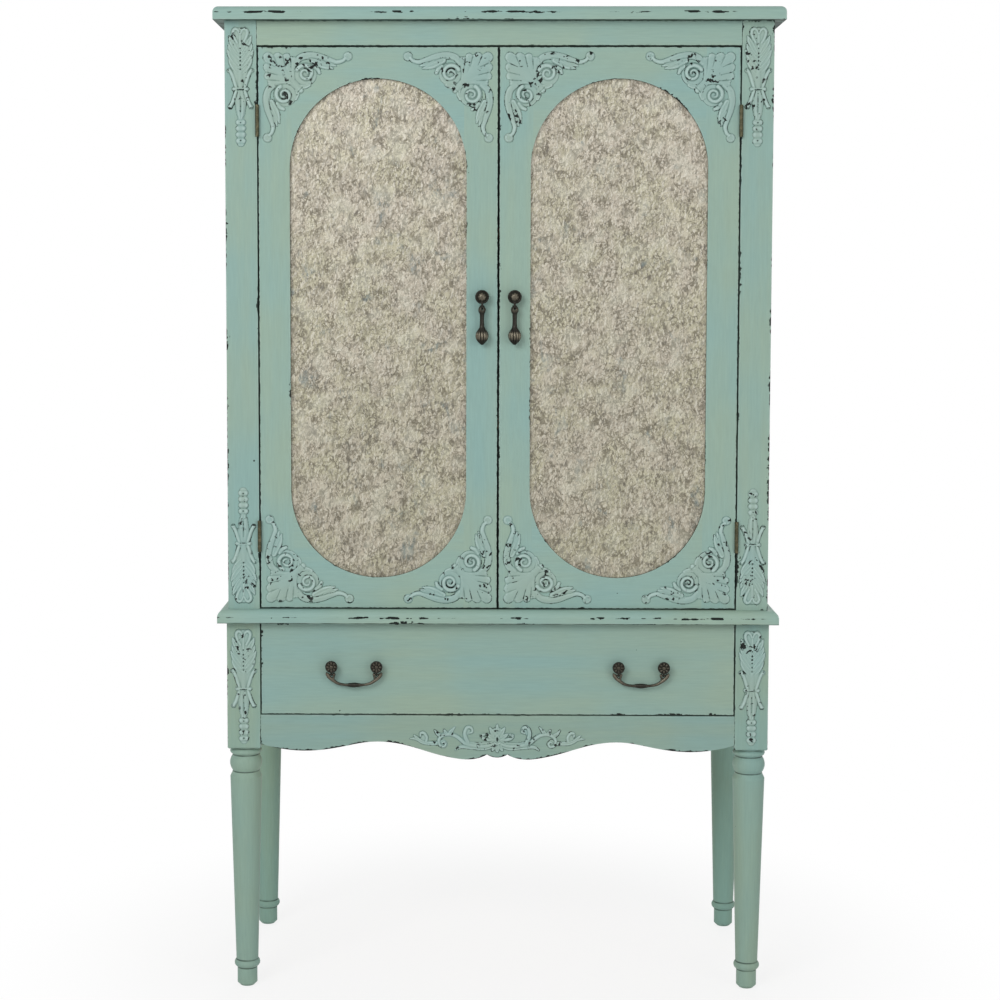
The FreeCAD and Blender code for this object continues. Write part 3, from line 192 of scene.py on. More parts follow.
BLUE_SAGE = shade(145, 179, 173)
GREEN_SAGE = shade(157, 180, 162)
PALE_SAGE = shade(172, 192, 182)
UNDERCOAT = (0.005, 0.009, 0.007, 1)
# The two colours below are painted shade: under pieces and in grooves, and round a door's opening.
PAINTED_SHADE = shade(34, 50, 42)
PAINTED_LIP_SHADE = shade(58, 46, 34)
ALONG = {"x": (0.06, 1, 1), "y": (1, 0.06, 1), "z": (1, 1, 0.06)}


def milk_paint(name, low, high, grain, seed, wear=1.0, line=None, opening=None, tint=1.0, rim=0.0, skirt=(),
               under=0.0, rings=()):
    """Brushed sage paint on a piece with corners low and high, in metres. Its arrises are rubbed through
    in patches, and to the depth of rim all along, which also widens the dark of the gaps beside them as
    painted shade. line is a height that is rubbed in dashes, and opening is the (x, z, radius, half
    straight length) of a round-ended opening, round whose rim a thin brown line is painted shade. skirt
    is a row of (x, z) points along a sawn lower edge, which is rubbed in patches. Painted shade darkens
    the foot of the piece, to the height of under, and the turned grooves at the given heights. A factor
    scales the colour: partly the piece's own tone, partly painted shade on the lower and rear pieces."""
    finish, shader, where = new_finish(name)
    place, along = split(where), stretched(where, ALONG[grain])
    edge = outer = to_arris(where, low, high)
    if opening is not None:
        lip = to_rim(place, opening)
        edge = reckon("MINIMUM", outer, lip + 0.5 * MM)

    patches = spread(cloud(where, 0.075, 2, 0.5, seed), 0.47, 0.68)
    ragged = spread(cloud(along, 0.004, 3, 0.65, seed + 3), 0.3, 0.72, smooth=False)
    chips = spread(cloud(where, 0.007, 2, 0.6, seed + 5), 0.4, 0.65)
    reach = patches * chips * (4.6 * MM * wear) * (ragged + 0.25)
    rubbed = spread(reach - edge, -0.15 * MM, 0.2 * MM)
    # The band rubbed all along the arrises is real wear, and it also widens the dark of the gaps beside them as
    # painted shade.
    if rim:
        rim_wear_and_gap_shade = chips * (rim * 0.7) + rim * 0.55
        rubbed = reckon("MAXIMUM", rubbed, spread(rim_wear_and_gap_shade - outer, -0.15 * MM, 0.15 * MM))
    if line is not None:
        rubbed = reckon("MAXIMUM", rubbed, rubbed_line(where, place, line, seed))
    if skirt:
        rubbed = reckon("MAXIMUM", rubbed, rubbed_skirt(where, place, low, high, skirt, chips, seed))
    specks = spread(cloud(where, 0.0075, 1, 0.4, seed + 9), 0.795, 0.81)
    specks = specks * spread(cloud(where, 0.12, 1, 0.4, seed + 11), 0.55, 0.6)
    bare = reckon("MAXIMUM", rubbed, specks)

    tone = spread(cloud(along, 0.028, 3, 0.5, seed + 13), 0.32, 0.68)
    drift = spread(cloud(where, 0.22, 2, 0.5, seed + 15), 0.35, 0.65)
    # The factor below darkens some pieces: partly their own tone, partly painted shade on the lower and rear
    # pieces.
    blue, green = ((*np.multiply(sage[:3], tint), 1) for sage in (BLUE_SAGE, GREEN_SAGE))
    colour = blended(tone * 0.4 + drift * 0.6, blue, green)
    brush = cloud(along, 0.0022, 4, 0.6, seed + 17)
    streak = spread(brush, 0.25, 0.75, 0.93, 1.06, smooth=False)
    streaks = node(where.tree, "ShaderNodeCombineXYZ", {axis: streak for axis in range(3)})
    colour = blended(1.0, colour, streaks.outputs[0], "MULTIPLY")
    thin = spread(edge, 0.2 * MM, 3.5 * MM, 0.4, 0.0) * spread(cloud(where, 0.02, 2, 0.5, seed + 19), 0.4, 0.7)
    colour = blended(thin, colour, PALE_SAGE)
    # Painted shade: a thin brown line round the opening's rim, where the lip's inner wall is in shade.
    if opening is not None:
        lip_shade = (spread(lip, 0.5 * MM, 1.3 * MM, 1.0, 0.0)
                  * spread(place[1], low.y + 0.6 * MM, low.y + 1.3 * MM))
        colour = blended(lip_shade * 0.9, colour, PAINTED_LIP_SHADE)
    # Painted shade: darker at the foot of the piece, where it meets what is below, and in the turned grooves.
    kept = 0.0
    if under:
        kept = spread(place[2], low.z + under * 0.6, low.z + under, 0.85, 0.0)
    for height in rings:
        kept = reckon("MAXIMUM", kept, spread(abs(place[2] - height), 0.6 * MM, 1.5 * MM, 0.75, 0.0))
    if under or rings:
        kept = kept * spread(cloud(where, 0.02, 2, 0.5, seed + 29), 0.35, 0.6, 0.6, 1.0)
        colour = blended(kept, colour, PAINTED_SHADE)
    shine = spread(brush, 0.3, 0.7, 0.5, 0.62, smooth=False)
    shader.inputs["Specular IOR Level"].default_value = 0.25
    lay_on(shader, blended(bare, colour, UNDERCOAT), shine + bare * 0.15, brush * 0.4 - bare * 1.2,
           0.35, 0.25 * MM)
    return finish


def dress(name, finish, soften=0.0):
    """Gives a CAD piece its finish, and rounds its arrises to the width of soften."""
    piece = cad[name]
    for slot in piece.material_slots:
        slot.material = finish
    if soften:
        piece.modifiers.new("weld", "WELD").merge_threshold = 0.01 * MM
        flat = piece.modifiers.new("flat", "DECIMATE")
        flat.decimate_type, flat.angle_limit = "DISSOLVE", math.radians(0.5)
        bevel = piece.modifiers.new("arris", "BEVEL")
        bevel.width, bevel.segments = soften, 3
        bevel.limit_method, bevel.angle_limit = "ANGLE", math.radians(40)
        bevel.harden_normals = False
    return piece


def painted(name, grain, seed, soften=0.0, **how):
    """Paints a CAD piece, with the grain along x, y or z."""
    dress(name, milk_paint(name + "_paint", *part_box(name), grain, seed, **how), soften)


# The cornice's underside, and a thin line at the foot of the waist board's front, are darkened as painted
# shade.
for board, round_line, under, seed in (("cornice_board", 1628 * MM, 0.5 * MM, 1.0),
                                       ("waist_board", 636.5 * MM, 1.5 * MM, 7.0)):
    painted(board, "x", seed, wear=1.15, line=round_line, tint=0.985, under=under)

# ---------------------------------------------------------------- posts, frieze and side panels
# The upper case: four posts, a frieze rail over the doors and two thin side panels, all poplar, tenoned
# and glued, then painted with the grain. The posts are rubbed hardest down their outer front arris.
for side, post_seed, panel_seed in (("left", 11.0, 23.0), ("right", 17.0, 29.0)):
    painted(f"front_post_{side}", "z", post_seed, wear=1.5, tint=0.955)
    painted(f"rear_post_{side}", "z", post_seed + 3, wear=1.5, tint=0.955)
    painted(f"side_panel_{side}", "z", panel_seed, wear=0.3)
painted("frieze_rail", "x", 31.0, soften=0.5 * MM, wear=0.3, tint=0.975, rim=0.8 * MM)

# ---------------------------------------------------------------- legs
# Each leg is turned from one length of rubberwood: the square block takes the apron rails, and the shaft
# below it has a neck, two beads and a long taper to a ringed foot. Paint is worn on the crests of the
# beads and on the block's arrises. The legs are painted darker than the case, the rear pair more, as
# painted shade, and thin lines of painted shade sit in five grooves of the turning.
# Thin lines of painted shade sit at these heights, in the grooves.
groove_heights = [height * MM for height in (410, 398, 370, 45.4, 31.4)]
for end, seed, tint in (("front", 41.0, (0.87, 0.885, 0.865)), ("rear", 47.0, (0.78, 0.82, 0.76))):
    painted(f"{end}_leg_left", "z", seed, wear=0.9, tint=tint, rings=groove_heights)
    painted(f"{end}_leg_right", "z", seed + 2, wear=0.9, tint=tint, rings=groove_heights)

# ---------------------------------------------------------------- aprons
# Rails between the legs. The front one is sawn to a scalloped lower edge with a small lobe in the middle,
# the side and rear ones are straight. All are poplar, painted along the grain.
low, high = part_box("apron")
sawn_edge = {}
for vert in cad["apron"].data.vertices:
    x, y, z = vert.co
    if y < low.y + 0.1 * MM and z < sawn_edge.get(round(x, 5), high.z):
        sawn_edge[round(x, 5)] = z
# The rails are painted darker than the case, as painted shade low under it.
painted("apron", "x", 53.0, wear=0.6, tint=0.87, skirt=sorted(sawn_edge.items()))
painted("side_apron_left", "y", 59.0, wear=0.6, tint=0.87)
painted("side_apron_right", "y", 61.0, wear=0.6, tint=0.87)
painted("rear_apron", "x", 67.0, wear=0.6, tint=0.87)

# ---------------------------------------------------------------- back panel
# One thin sheet of birch plywood in a rebate of the rear posts, painted like the case but thinly, and
# held with a row of panel pins all round.
painted("back_panel", "z", 71.0, wear=0.3, tint=0.96)


def new_geometry_tree(name, inputs):
    """A Geometry Nodes tree, and its named inputs. Each has a kind and a starting value."""
    tree = bpy.data.node_groups.new(name, "GeometryNodeTree")
    tree.interface.new_socket("Geometry", in_out="OUTPUT", socket_type="NodeSocketGeometry")
    for label, (kind, value) in {**inputs, "Finish": ("Material", None)}.items():
        socket = tree.interface.new_socket(label, in_out="INPUT", socket_type="NodeSocket" + kind)
        if value is not None:
            socket.default_value = value
    return tree, tree.nodes.new("NodeGroupInput").outputs


def step(tree, kind, inputs, **settings):
    """The first output of a new geometry node."""
    return node(tree, "GeometryNode" + kind, inputs, **settings).outputs[0]


def close_tree(tree, given, geometry, smooth=True):
    """The last steps of a tree: its geometry is shaded, coated and given out."""
    if smooth:
        geometry = step(tree, "SetShadeSmooth", {0: geometry})
    coated = step(tree, "SetMaterial", {"Geometry": geometry, "Material": given["Finish"]})
    tree.links.new(coated, tree.nodes.new("NodeGroupOutput").inputs[0])


def placed(name, data):
    """A new object in the scene."""
    made = bpy.data.objects.new(name, data)
    scene.collection.objects.link(made)
    return made


def made_by(tree, name, body, finish_slot, **values):
    """Runs a Geometry Nodes tree with the given inputs and keeps the result as a plain mesh on a body."""
    carrier = placed(name, bpy.data.meshes.new(name + "_seed"))
    modifier = carrier.modifiers.new("maker", "NODES")
    modifier.node_group = tree
    for socket in tree.interface.items_tree:
        if socket.in_out == "INPUT" and socket.name in values:
            modifier[socket.identifier] = values[socket.name]
    bpy.context.view_layer.update()
    graph = bpy.context.evaluated_depsgraph_get()
    mesh = bpy.data.meshes.new_from_object(carrier.evaluated_get(graph), preserve_all_data_layers=True,
                                           depsgraph=graph)
    carrier.modifiers.remove(modifier)
    carrier.data = mesh
    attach(carrier, body)
    return carrier


def metal(name, colour, crest, roughness, dirt, scale=0.004):
    """Cast or plated metal: its own colour, a rubbed colour in patches and a dull film of dirt."""
    finish, shader, where = new_finish(name)
    rubbed = spread(cloud(where, scale, 4, 0.6, 0.0), 0.45, 0.66)
    fine = cloud(where, scale / 6, 3, 0.6, 4.0)
    film = spread(fine, 0.52, 0.7, 0.0, 0.8)
    shader.inputs["Metallic"].default_value = 0.9
    lay_on(shader, blended(film, blended(rubbed, colour, crest), dirt), film * 0.3 + roughness, fine,
           0.25, 0.12 * MM)
    return finish


UPRIGHT = (math.pi / 2, 0, 0)
pin_tree, given = new_geometry_tree("panel_pins", {
    "Width": ("Float", 0.76), "Height": ("Float", 0.94), "Spacing": ("Float", 0.094),
    "Head radius": ("Float", 0.0016), "Place": ("Vector", (0, 0, 0))})
border = step(pin_tree, "CurvePrimitiveQuadrilateral", {"Width": given["Width"], "Height": given["Height"]})
spots = step(pin_tree, "CurveToPoints", {"Curve": border, "Length": given["Spacing"]}, mode="LENGTH")
head = step(pin_tree, "MeshUVSphere", {"Segments": 10, "Rings": 6, "Radius": given["Head radius"]})
flat_head = step(pin_tree, "Transform", {"Geometry": head, "Scale": (1, 1, 0.45)})
heads = step(pin_tree, "InstanceOnPoints", {"Points": spots, "Instance": flat_head})
stood = step(pin_tree, "Transform", {"Geometry": heads, "Translation": given["Place"], "Rotation": UPRIGHT})
close_tree(pin_tree, given, step(pin_tree, "RealizeInstances", {0: stood}))
steel = metal("pin_steel", shade(120, 118, 112), shade(160, 158, 150), 0.38, shade(84, 76, 66))
low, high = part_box("back_panel")
pin_margin = 14 * MM
made_by(pin_tree, "panel_pin_heads", "case", "zinc_plate", Finish=steel, Width=high.x - low.x - pin_margin,
        Height=high.z - low.z - pin_margin,
        Place=((low.x + high.x) / 2, high.y + 0.2 * MM, (low.z + high.z) / 2))

# ---------------------------------------------------------------- shelves, pins and drawer runners
# Two loose shelves of pine rest on turned steel pins in the posts. Pine runners and kickers guide the
# drawer. None of it is painted: the wood has yellowed, with its grain along the length.


def pine(name, grain, seed, light=1.0):
    """Bare pine: growth bands along the grain, fine pores, a few darker streaks."""
    finish, shader, where = new_finish(name)
    along = stretched(where, {"x": (0.035, 1, 1), "y": (1, 0.035, 1), "z": (1, 1, 0.035)}[grain])
    late = spread(reckon("FRACT", cloud(along, 0.012, 2, 0.45, seed, 0.6) * 7.0), 0.55, 0.98)
    fibre = cloud(along, 0.0011, 3, 0.6, seed + 2)
    drift = spread(cloud(where, 0.3, 2, 0.5, seed + 6), 0.35, 0.65)
    pale, warm, dark = (shade(*[value * light for value in chip])
                        for chip in ((214, 182, 140), (203, 168, 124), (172, 128, 84)))
    colour = blended(late * 0.6, blended(drift, pale, warm), dark)
    colour = blended(spread(fibre, 0.4, 0.8, 0.0, 0.35), colour, shade(140, 100, 64))
    lay_on(shader, colour, spread(fibre, 0.3, 0.7, 0.55, 0.75), fibre, 0.3, 0.15 * MM)
    return finish


shelf_wood = pine("shelf_pine", "x", 3.0)
for shelf in ("upper_shelf", "lower_shelf"):
    dress(shelf, shelf_wood)
dress("drawer_runners", pine("runner_pine", "y", 9.0, 0.94))
dress("shelf_pins", metal("shelf_pin_steel", shade(176, 178, 180), shade(208, 210, 212), 0.3,
                          shade(120, 120, 118)))

# ---------------------------------------------------------------- door frames
# Each door is two stiles and two rails of poplar. The rails are sawn to half rounds, so that the opening
# has round ends, and a lip in front holds the mirror. Paint is rubbed through at the outer arrises and,
# more finely, round the opening. The band rubbed all along the arrises also widens the dark of the gaps
# as painted shade, and a thin brown line of painted shade runs round the opening's rim.
for side in ("left", "right"):
    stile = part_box(f"door_{side}_hinge_stile")
    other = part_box(f"door_{side}_meeting_stile")
    door_low = Vector(np.minimum(stile[0], other[0]))
    door_high = Vector(np.maximum(stile[1], other[1]))
    centre = (door_low + door_high) / 2
    round_end, rail_width = 145 * MM, 51.25 * MM
    straight = (door_high.z - door_low.z) / 2 - rail_width - round_end
    shape = (abs(centre.x), centre.z, round_end, straight)
    for offset, (part, grain) in enumerate((("hinge_stile", "z"), ("meeting_stile", "z"), ("top_rail", "x"),
                                            ("bottom_rail", "x"))):
        seed = (83.0 if side == "left" else 101.0) + 1.7 * offset
        finish = milk_paint(f"door_{side}_{part}_paint", door_low, door_high, grain, seed, wear=0.95,
                            opening=shape, rim=1.1 * MM, tint=0.965)
        dress(f"door_{side}_{part}", finish)

# ---------------------------------------------------------------- mirrors and their strips
# A sheet of antiqued mirror in the rebate of each door. The silvering has been eaten back to a cream
# ground with brown curls, grey runs and a few blue-grey clouds. Small flecks are painted as tiny bumps,
# with a painted highlight on one side and painted shade on the other, and the glass is painted darker
# towards the bottom, as painted shade. The back is painted grey, and four pine strips are pinned against it.
for side, seed in (("left", 0.0), ("right", 5.3)):
    glass, shader, where = new_finish(f"antiqued_mirror_{side}")
    place, tall = split(where), stretched(where, (1, 1, 0.76))
    flecks = cloud(tall, 0.0078, 2, 0.5, seed + 1, 0.9)
    # Painted highlight and painted shade: each fleck set against a copy moved a little is lighter on one side
    # and darker on the other, as if lit.
    beside = cloud(reckon_vector("ADD", tall, (0.0012, 0, -0.0005)), 0.0078, 2, 0.5, seed + 1, 0.9)
    painted_emboss = flecks - beside
    thick = spread(cloud(where, 0.022, 2, 0.5, seed + 4), 0.36, 0.6, 0.35, 1.0)
    strokes = spread(cloud(stretched(where, (1, 1, 0.64)), 0.0072, 2, 0.55, seed + 5, 1.1), 0.51, 0.6)
    curls = spread(abs(cloud(tall, 0.0125, 2, 0.5, seed + 17, 1.2) - 0.5), 0.042, 0.016)
    dots = spread(cloud(tall, 0.0038, 2, 0.55, seed + 7, 0.5), 0.55, 0.66)
    runs = (spread(cloud(stretched(where, (1, 1, 0.42)), 0.0048, 2, 0.6, seed + 9, 0.6), 0.55, 0.63)
            * spread(cloud(where, 0.03, 2, 0.5, seed + 13), 0.5, 0.62))
    clouds = (spread(cloud(stretched(where, (1, 1, 0.8)), 0.042, 3, 0.6, seed + 10, 0.6), 0.56, 0.7)
              * spread(cloud(stretched(where, (1, 1, 0.4)), 0.0055, 3, 0.65, seed + 11, 0.8), 0.4, 0.62))
    pools = spread(cloud(where, 0.05, 2, 0.5, seed + 3), 0.36, 0.64)
    colour = blended(pools, shade(206, 196, 179), shade(202, 196, 170))
    # The first two are the flecks' painted highlight and painted shade; the rest are tarnish.
    for share, tarnish in ((spread(painted_emboss, 0.01, 0.07) * 0.85, shade(226, 220, 206)),
                           (spread(painted_emboss, -0.02, -0.1) * 0.45, shade(136, 130, 114)),
                           (strokes * thick * 0.7, shade(120, 113, 96)),
                           (curls * thick * 0.78, shade(118, 110, 92)),
                           (dots * 0.62, shade(104, 98, 86)),
                           (runs * 0.75, shade(112, 106, 96)),
                           (clouds * 0.85, shade(116, 130, 131))):
        colour = blended(share, colour, tarnish)
    dusk = cloud(where, 0.034, 2, 0.5, seed + 15, 0.5)
    colour = blended(spread(dusk, 0.36, 0.64, 0.75, 0.0), colour,
                     blended(1.0, colour, (0.85, 0.86, 0.87, 1), "MULTIPLY"))
    colour = blended(spread(dusk, 0.5, 0.66, 0.0, 0.3), colour, shade(205, 205, 190))
    # Painted shade: the glass is darker and a little yellower towards the bottom.
    low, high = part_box(f"door_{side}_mirror")
    colour = blended(spread(place[2], low.z, high.z, 0.8, 0.0, smooth=False), colour,
                     blended(1.0, colour, (0.82, 0.83, 0.78, 1), "MULTIPLY"))
    behind = spread(place[1], low.y + 1 * MM, low.y + 2 * MM, smooth=False)
    backing = blended(spread(flecks, 0.4, 0.6), shade(92, 88, 84), shade(78, 74, 70))
    shader.inputs["Metallic"].default_value = 0.2
    lay_on(shader, blended(behind, colour, backing), spread(flecks, 0.4, 0.65, 0.22, 0.42), flecks,
           0.15, 0.2 * MM)
    dress(f"door_{side}_mirror", glass)
    dress(f"door_{side}_mirror_strips", pine(f"mirror_strip_pine_{side}", "z", 13.0 + seed, 0.92))

# ---------------------------------------------------------------- corner carvings on the doors
# Moulded wood-composition ornaments glued into each corner of the doors: a leaf fan, two volutes, a bud
# and a scrolling tail along each edge. They are painted with the door, with the paint rubbed to black in
# spots, painted shade in the hollows and round the foot, and a painted highlight on the crests.


def curve_through(points, counts):
    """Points on a smooth curve through the given ones, with so many steps from each to the next."""
    ends = np.vstack([2 * points[0] - points[1], points, 2 * points[-1] - points[-2]])
    run = []
    for before, start, end, after, count in zip(ends, ends[1:], ends[2:], ends[3:], counts):
        t = np.linspace(0, 1, count, endpoint=False)[:, None]
        run.append(0.5 * (2 * start + (end - before) * t + (2 * before - 5 * start + 4 * end - after) * t ** 2
                          + (3 * start - before - 3 * end + after) * t ** 3))
    return np.vstack([*run, points[-1:]])


def smooth_run(points, spacing=1.6):
    """A smooth run through (across, down, half width) points in millimetres."""
    points = np.array(points, float)
    if len(points) == 1:
        return np.vstack([points, points + (0.01, 0, 0)])
    lengths = np.hypot(*np.diff(points[:, :2], axis=0).T)
    run = curve_through(points, [max(2, int(length / spacing)) for length in lengths])
    run[:, 2] = np.maximum(run[:, 2], 0.3)
    return run


def volute(x, y, outer, inner, turns, start, width, way=1):
    """A spiral run from its outer end to its eye."""
    share = np.linspace(0, 1, int(26 * turns))
    angle = math.radians(start) + way * share * turns * math.tau
    radius = outer + (inner - outer) * share ** 0.85
    return [(x + r * math.cos(a), y + r * math.sin(a), width * (1 - 0.35 * s))
            for r, a, s in zip(radius, angle, share)]


def turned_over(pieces):
    """The same pieces on the other side of the corner's diagonal."""
    return [(form, height, [(v, u, half) for u, v, half in points]) for form, height, points in pieces]


def both_sides(pieces):
    """The pieces, and the mirror image of each that leaves the middle line."""
    off_middle = [piece for piece in pieces if any(point[0] for point in piece[2])]
    return pieces + [(form, height, [(-u, v, half) for u, v, half in points])
                     for form, height, points in off_middle]


def modelled(pieces, low_u, high_u, low_v, high_v, cell):
    """Height of a carving over a grid: the pieces blended into each other, with sloping sides, and which
    spots of it are black pits."""
    ground, top, side_slope, blend = -1.1, 4.9, 1.9, 0.45
    across, down = np.meshgrid(np.arange(low_u, high_u + cell, cell), np.arange(low_v, high_v + cell, cell),
                               indexing="ij")
    height, pits = np.full(across.shape, ground), np.zeros(across.shape)
    for form, rise, points in sorted(pieces, key=lambda piece: piece[0] in ("dip", "pit")):
        run = smooth_run(points)
        reach = run[:, 2].max() + 1.5
        near = ((across > run[:, 0].min() - reach) & (across < run[:, 0].max() + reach)
                & (down > run[:, 1].min() - reach) & (down < run[:, 1].max() + reach))
        u, v = across[near], down[near]
        best, depth = np.full(u.shape, 9.0), np.full(u.shape, -9.0)
        for (u0, v0, w0), (u1, v1, w1) in zip(run[:-1], run[1:]):
            du, dv = u1 - u0, v1 - v0
            t = np.clip(((u - u0) * du + (v - v0) * dv) / max(du * du + dv * dv, 1e-9), 0, 1)
            away = np.hypot(u - u0 - t * du, v - v0 - t * dv)
            half = w0 + t * (w1 - w0)
            best = np.minimum(best, away / half)
            depth = np.maximum(depth, half - away)
        dome = np.sqrt(np.clip(1 - best ** 2, 0, 1))
        if form in ("dip", "pit"):
            height[near] -= rise * dome ** 1.5
            if form == "pit":
                pits[near] = np.maximum(pits[near], np.clip(1.5 - best, 0, 1))
            continue
        if form == "leaf":
            dome = dome * (0.66 + 0.34 * np.clip(best / 0.45, 0, 1) ** 1.5)
        if form == "plate":
            dome = np.clip(depth / 2.5, 0, 1) ** 0.5
        new = np.minimum(rise * dome, side_slope * depth)
        # A thin film round the foot of each piece; the finish darkens it as painted shade where the carving
        # meets the ground.
        skirt = np.where(depth > -0.95, 0.1 + 0.05 * (depth + 0.95), ground)
        new = np.where(depth > 0.07, new, np.maximum(new, skirt))
        old = height[near]
        mix = np.maximum(blend - np.abs(new - old), 0) / blend
        height[near] = np.maximum(old, new) + mix ** 2 * blend / 4
    return across, down, np.clip(height, ground, top), pits


def carved(name, places, body, replaced, finish):
    """One closed mesh of carvings. A place is (grid, x, y, z, across, up): the origin of the grid, with
    across and up 1 or -1. The sides go a little way into the wood behind."""
    soften_passes, joining_passes, into_wood = 14, 6, 1.2
    points, faces, hollows = [], [], []
    for (across, down, height, pits), x, y, z, side, rise in places:
        count_u, count_v = height.shape
        soft = height.copy()
        for turn in range(soften_passes):
            padded = np.pad(soft, 1, mode="edge")
            soft = (padded[:-2, 1:-1] + padded[2:, 1:-1] + padded[1:-1, :-2] + padded[1:-1, 2:] + soft) / 5
        # This measure is above 0 in the hollows, for painted shade, and below 0 on the crests, for a painted
        # highlight. It is 1 at the low foot and on the sides, and 2 more in the black pits.
        hollow = np.clip((soft - height) / 0.9, -1, 1)
        hollow = np.where(height < 0.35, 1.0, hollow) + 2 * pits
        kept = np.maximum.reduce([height[:-1, :-1], height[1:, :-1], height[:-1, 1:], height[1:, 1:]]) > 0
        for turn in range(joining_passes):
            falling = kept[:-1, :-1] & kept[1:, 1:] & ~kept[1:, :-1] & ~kept[:-1, 1:]
            rising = kept[1:, :-1] & kept[:-1, 1:] & ~kept[:-1, :-1] & ~kept[1:, 1:]
            kept[1:, :-1] |= falling
            kept[:-1, :-1] |= rising
        used = np.zeros(height.shape, bool)
        for du in (0, 1):
            for dv in (0, 1):
                used[du:count_u - 1 + du, dv:count_v - 1 + dv] |= kept
        number = np.full(height.shape, -1)
        number[used] = np.arange(used.sum()) + len(points)
        points += list(zip((x + side * across[used]) * MM, (y - height[used]) * MM,
                           (z + rise * down[used]) * MM))
        hollows += list(hollow[used])
        u, v = np.argwhere(kept).T
        quads = np.stack([number[u, v], number[u + 1, v], number[u + 1, v + 1], number[u, v + 1]], 1)
        if side * rise < 0:
            quads = quads[:, ::-1]
        faces += quads.tolist()
    mesh = bpy.data.meshes.new(name)
    mesh.from_pydata([tuple(map(float, point)) for point in points], [], faces)
    mesh.attributes.new("hollow", "FLOAT", "POINT").data.foreach_set("value", np.array(hollows, np.float32))
    shape = bmesh.new()
    shape.from_mesh(mesh)
    layer = shape.verts.layers.float["hollow"]
    back = (places[0][2] + into_wood) * MM
    open_edges = [edge for edge in shape.edges if edge.is_boundary]
    walls = bmesh.ops.extrude_edge_only(shape, edges=open_edges)
    for vert in [item for item in walls["geom"] if isinstance(item, bmesh.types.BMVert)]:
        vert.co.y = back
        vert[layer] = 1.0
    rims = [edge for edge in shape.edges if edge.is_boundary]
    bmesh.ops.triangle_fill(shape, use_beauty=False, use_dissolve=False, edges=rims, normal=(0, 1, 0))
    left_open = [edge for edge in shape.edges if edge.is_boundary]
    if left_open:
        bmesh.ops.holes_fill(shape, edges=left_open)
    bmesh.ops.recalc_face_normals(shape, faces=shape.faces)
    shape.to_mesh(mesh)
    shape.free()
    for face in mesh.polygons:
        face.use_smooth = abs(face.normal.y) > 0.12 and face.center.y < back - 0.4 * MM
    mesh.materials.append(finish)
    piece = placed(name, mesh)
    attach(piece, body)
    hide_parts(replaced)
    return piece


def carving_paint(name, seed):
    """The case's sage, a little bluer, with painted shade in the hollows, a painted highlight on the crests,
    and black where it has been rubbed or missed.
    """
    finish, shader, where = new_finish(name)
    hollow = Value(node(where.tree, "ShaderNodeAttribute", attribute_name="hollow").outputs["Fac"])
    drift = spread(cloud(where, 0.09, 2, 0.5, seed), 0.35, 0.65)
    colour = blended(drift, shade(149, 178, 172), shade(155, 178, 167))
    fine = cloud(where, 0.0032, 3, 0.6, seed + 2)
    shadow = spread(cloud(where, 0.03, 2, 0.5, seed + 7), 0.36, 0.62, 0.3, 0.8)
    # Painted shade in the hollows and round the foot, and a painted highlight on the crests.
    colour = blended(spread(hollow, 0.1, 0.95) * shadow, colour, shade(72, 98, 90))
    colour = blended(spread(hollow, -0.1, -0.7, 0.0, 0.75), colour, shade(180, 204, 198))
    patch = spread(cloud(where, 0.022, 2, 0.5, seed + 5), 0.51, 0.55)
    run = spread(cloud(where, 0.009, 2, 0.5, seed + 3), 0.49, 0.53)
    chip = (spread(cloud(where, 0.0072, 2, 0.5, seed + 13, 0.4), 0.59, 0.61)
            * spread(cloud(where, 0.03, 2, 0.5, seed + 15), 0.48, 0.53))
    bare = reckon("MAXIMUM", patch * run * spread(hollow, 0.3, 0.6), chip)
    bare = reckon("MAXIMUM", bare, spread(hollow, 1.7, 2.3))
    shader.inputs["Specular IOR Level"].default_value = 0.25
    lay_on(shader, blended(bare, colour, UNDERCOAT), spread(fine, 0.3, 0.7, 0.45, 0.6), fine, 0.25, 0.25 * MM)
    return finish


# In the tables a piece is (form, height, points), and a point is (across, down, half width), all in
# millimetres. A plate is flat, a rib or a bead is domed, a leaf has a hollow vein, and a dip or a pit is cut.
CORNER_LEAVES = [
    ("plate", 2.8, [(14, 14, 11), (30, 30, 20), (44, 44, 10)]),
    ("plate", 2.4, [(28, 12, 9), (44, 17, 10)]),
    ("rib", 3.5, [(25, 8.6, 7.4), (33, 26, 8), (44, 42, 5)]),
    ("rib", 3.4, [(39.6, 9.4, 6.9), (42, 25, 6.6), (46, 40, 4)]),
    ("rib", 3.1, [(52, 14, 5.6), (50, 26, 4.6), (49, 38, 3)]),
    ("dip", 1.1, [(16.8, 2.4, 1.9), (20.4, 11.6, 1.3), (25, 22, 0.5)]),
    ("dip", 1.1, [(32.4, 1.8, 1.8), (34.8, 12.6, 1.2), (38, 25, 0.5)]),
    ("dip", 1.0, [(46.2, 5, 1.6), (46.4, 16, 1.1), (47.4, 28, 0.5)]),
]
CORNER_MIDDLE = [
    ("rib", 3.9, [(9, 9, 8.4), (27, 27, 12), (44, 44, 9)]),
    ("rib", 3.0, [(44, 44, 7), (55, 55, 6), (61, 61, 5)]),
    ("bead", 3.6, [(62.4, 62.4, 4.8)]),
    ("dip", 1.3, [(57.6, 65.4, 1.1), (65.4, 57.6, 1.1)]),
]
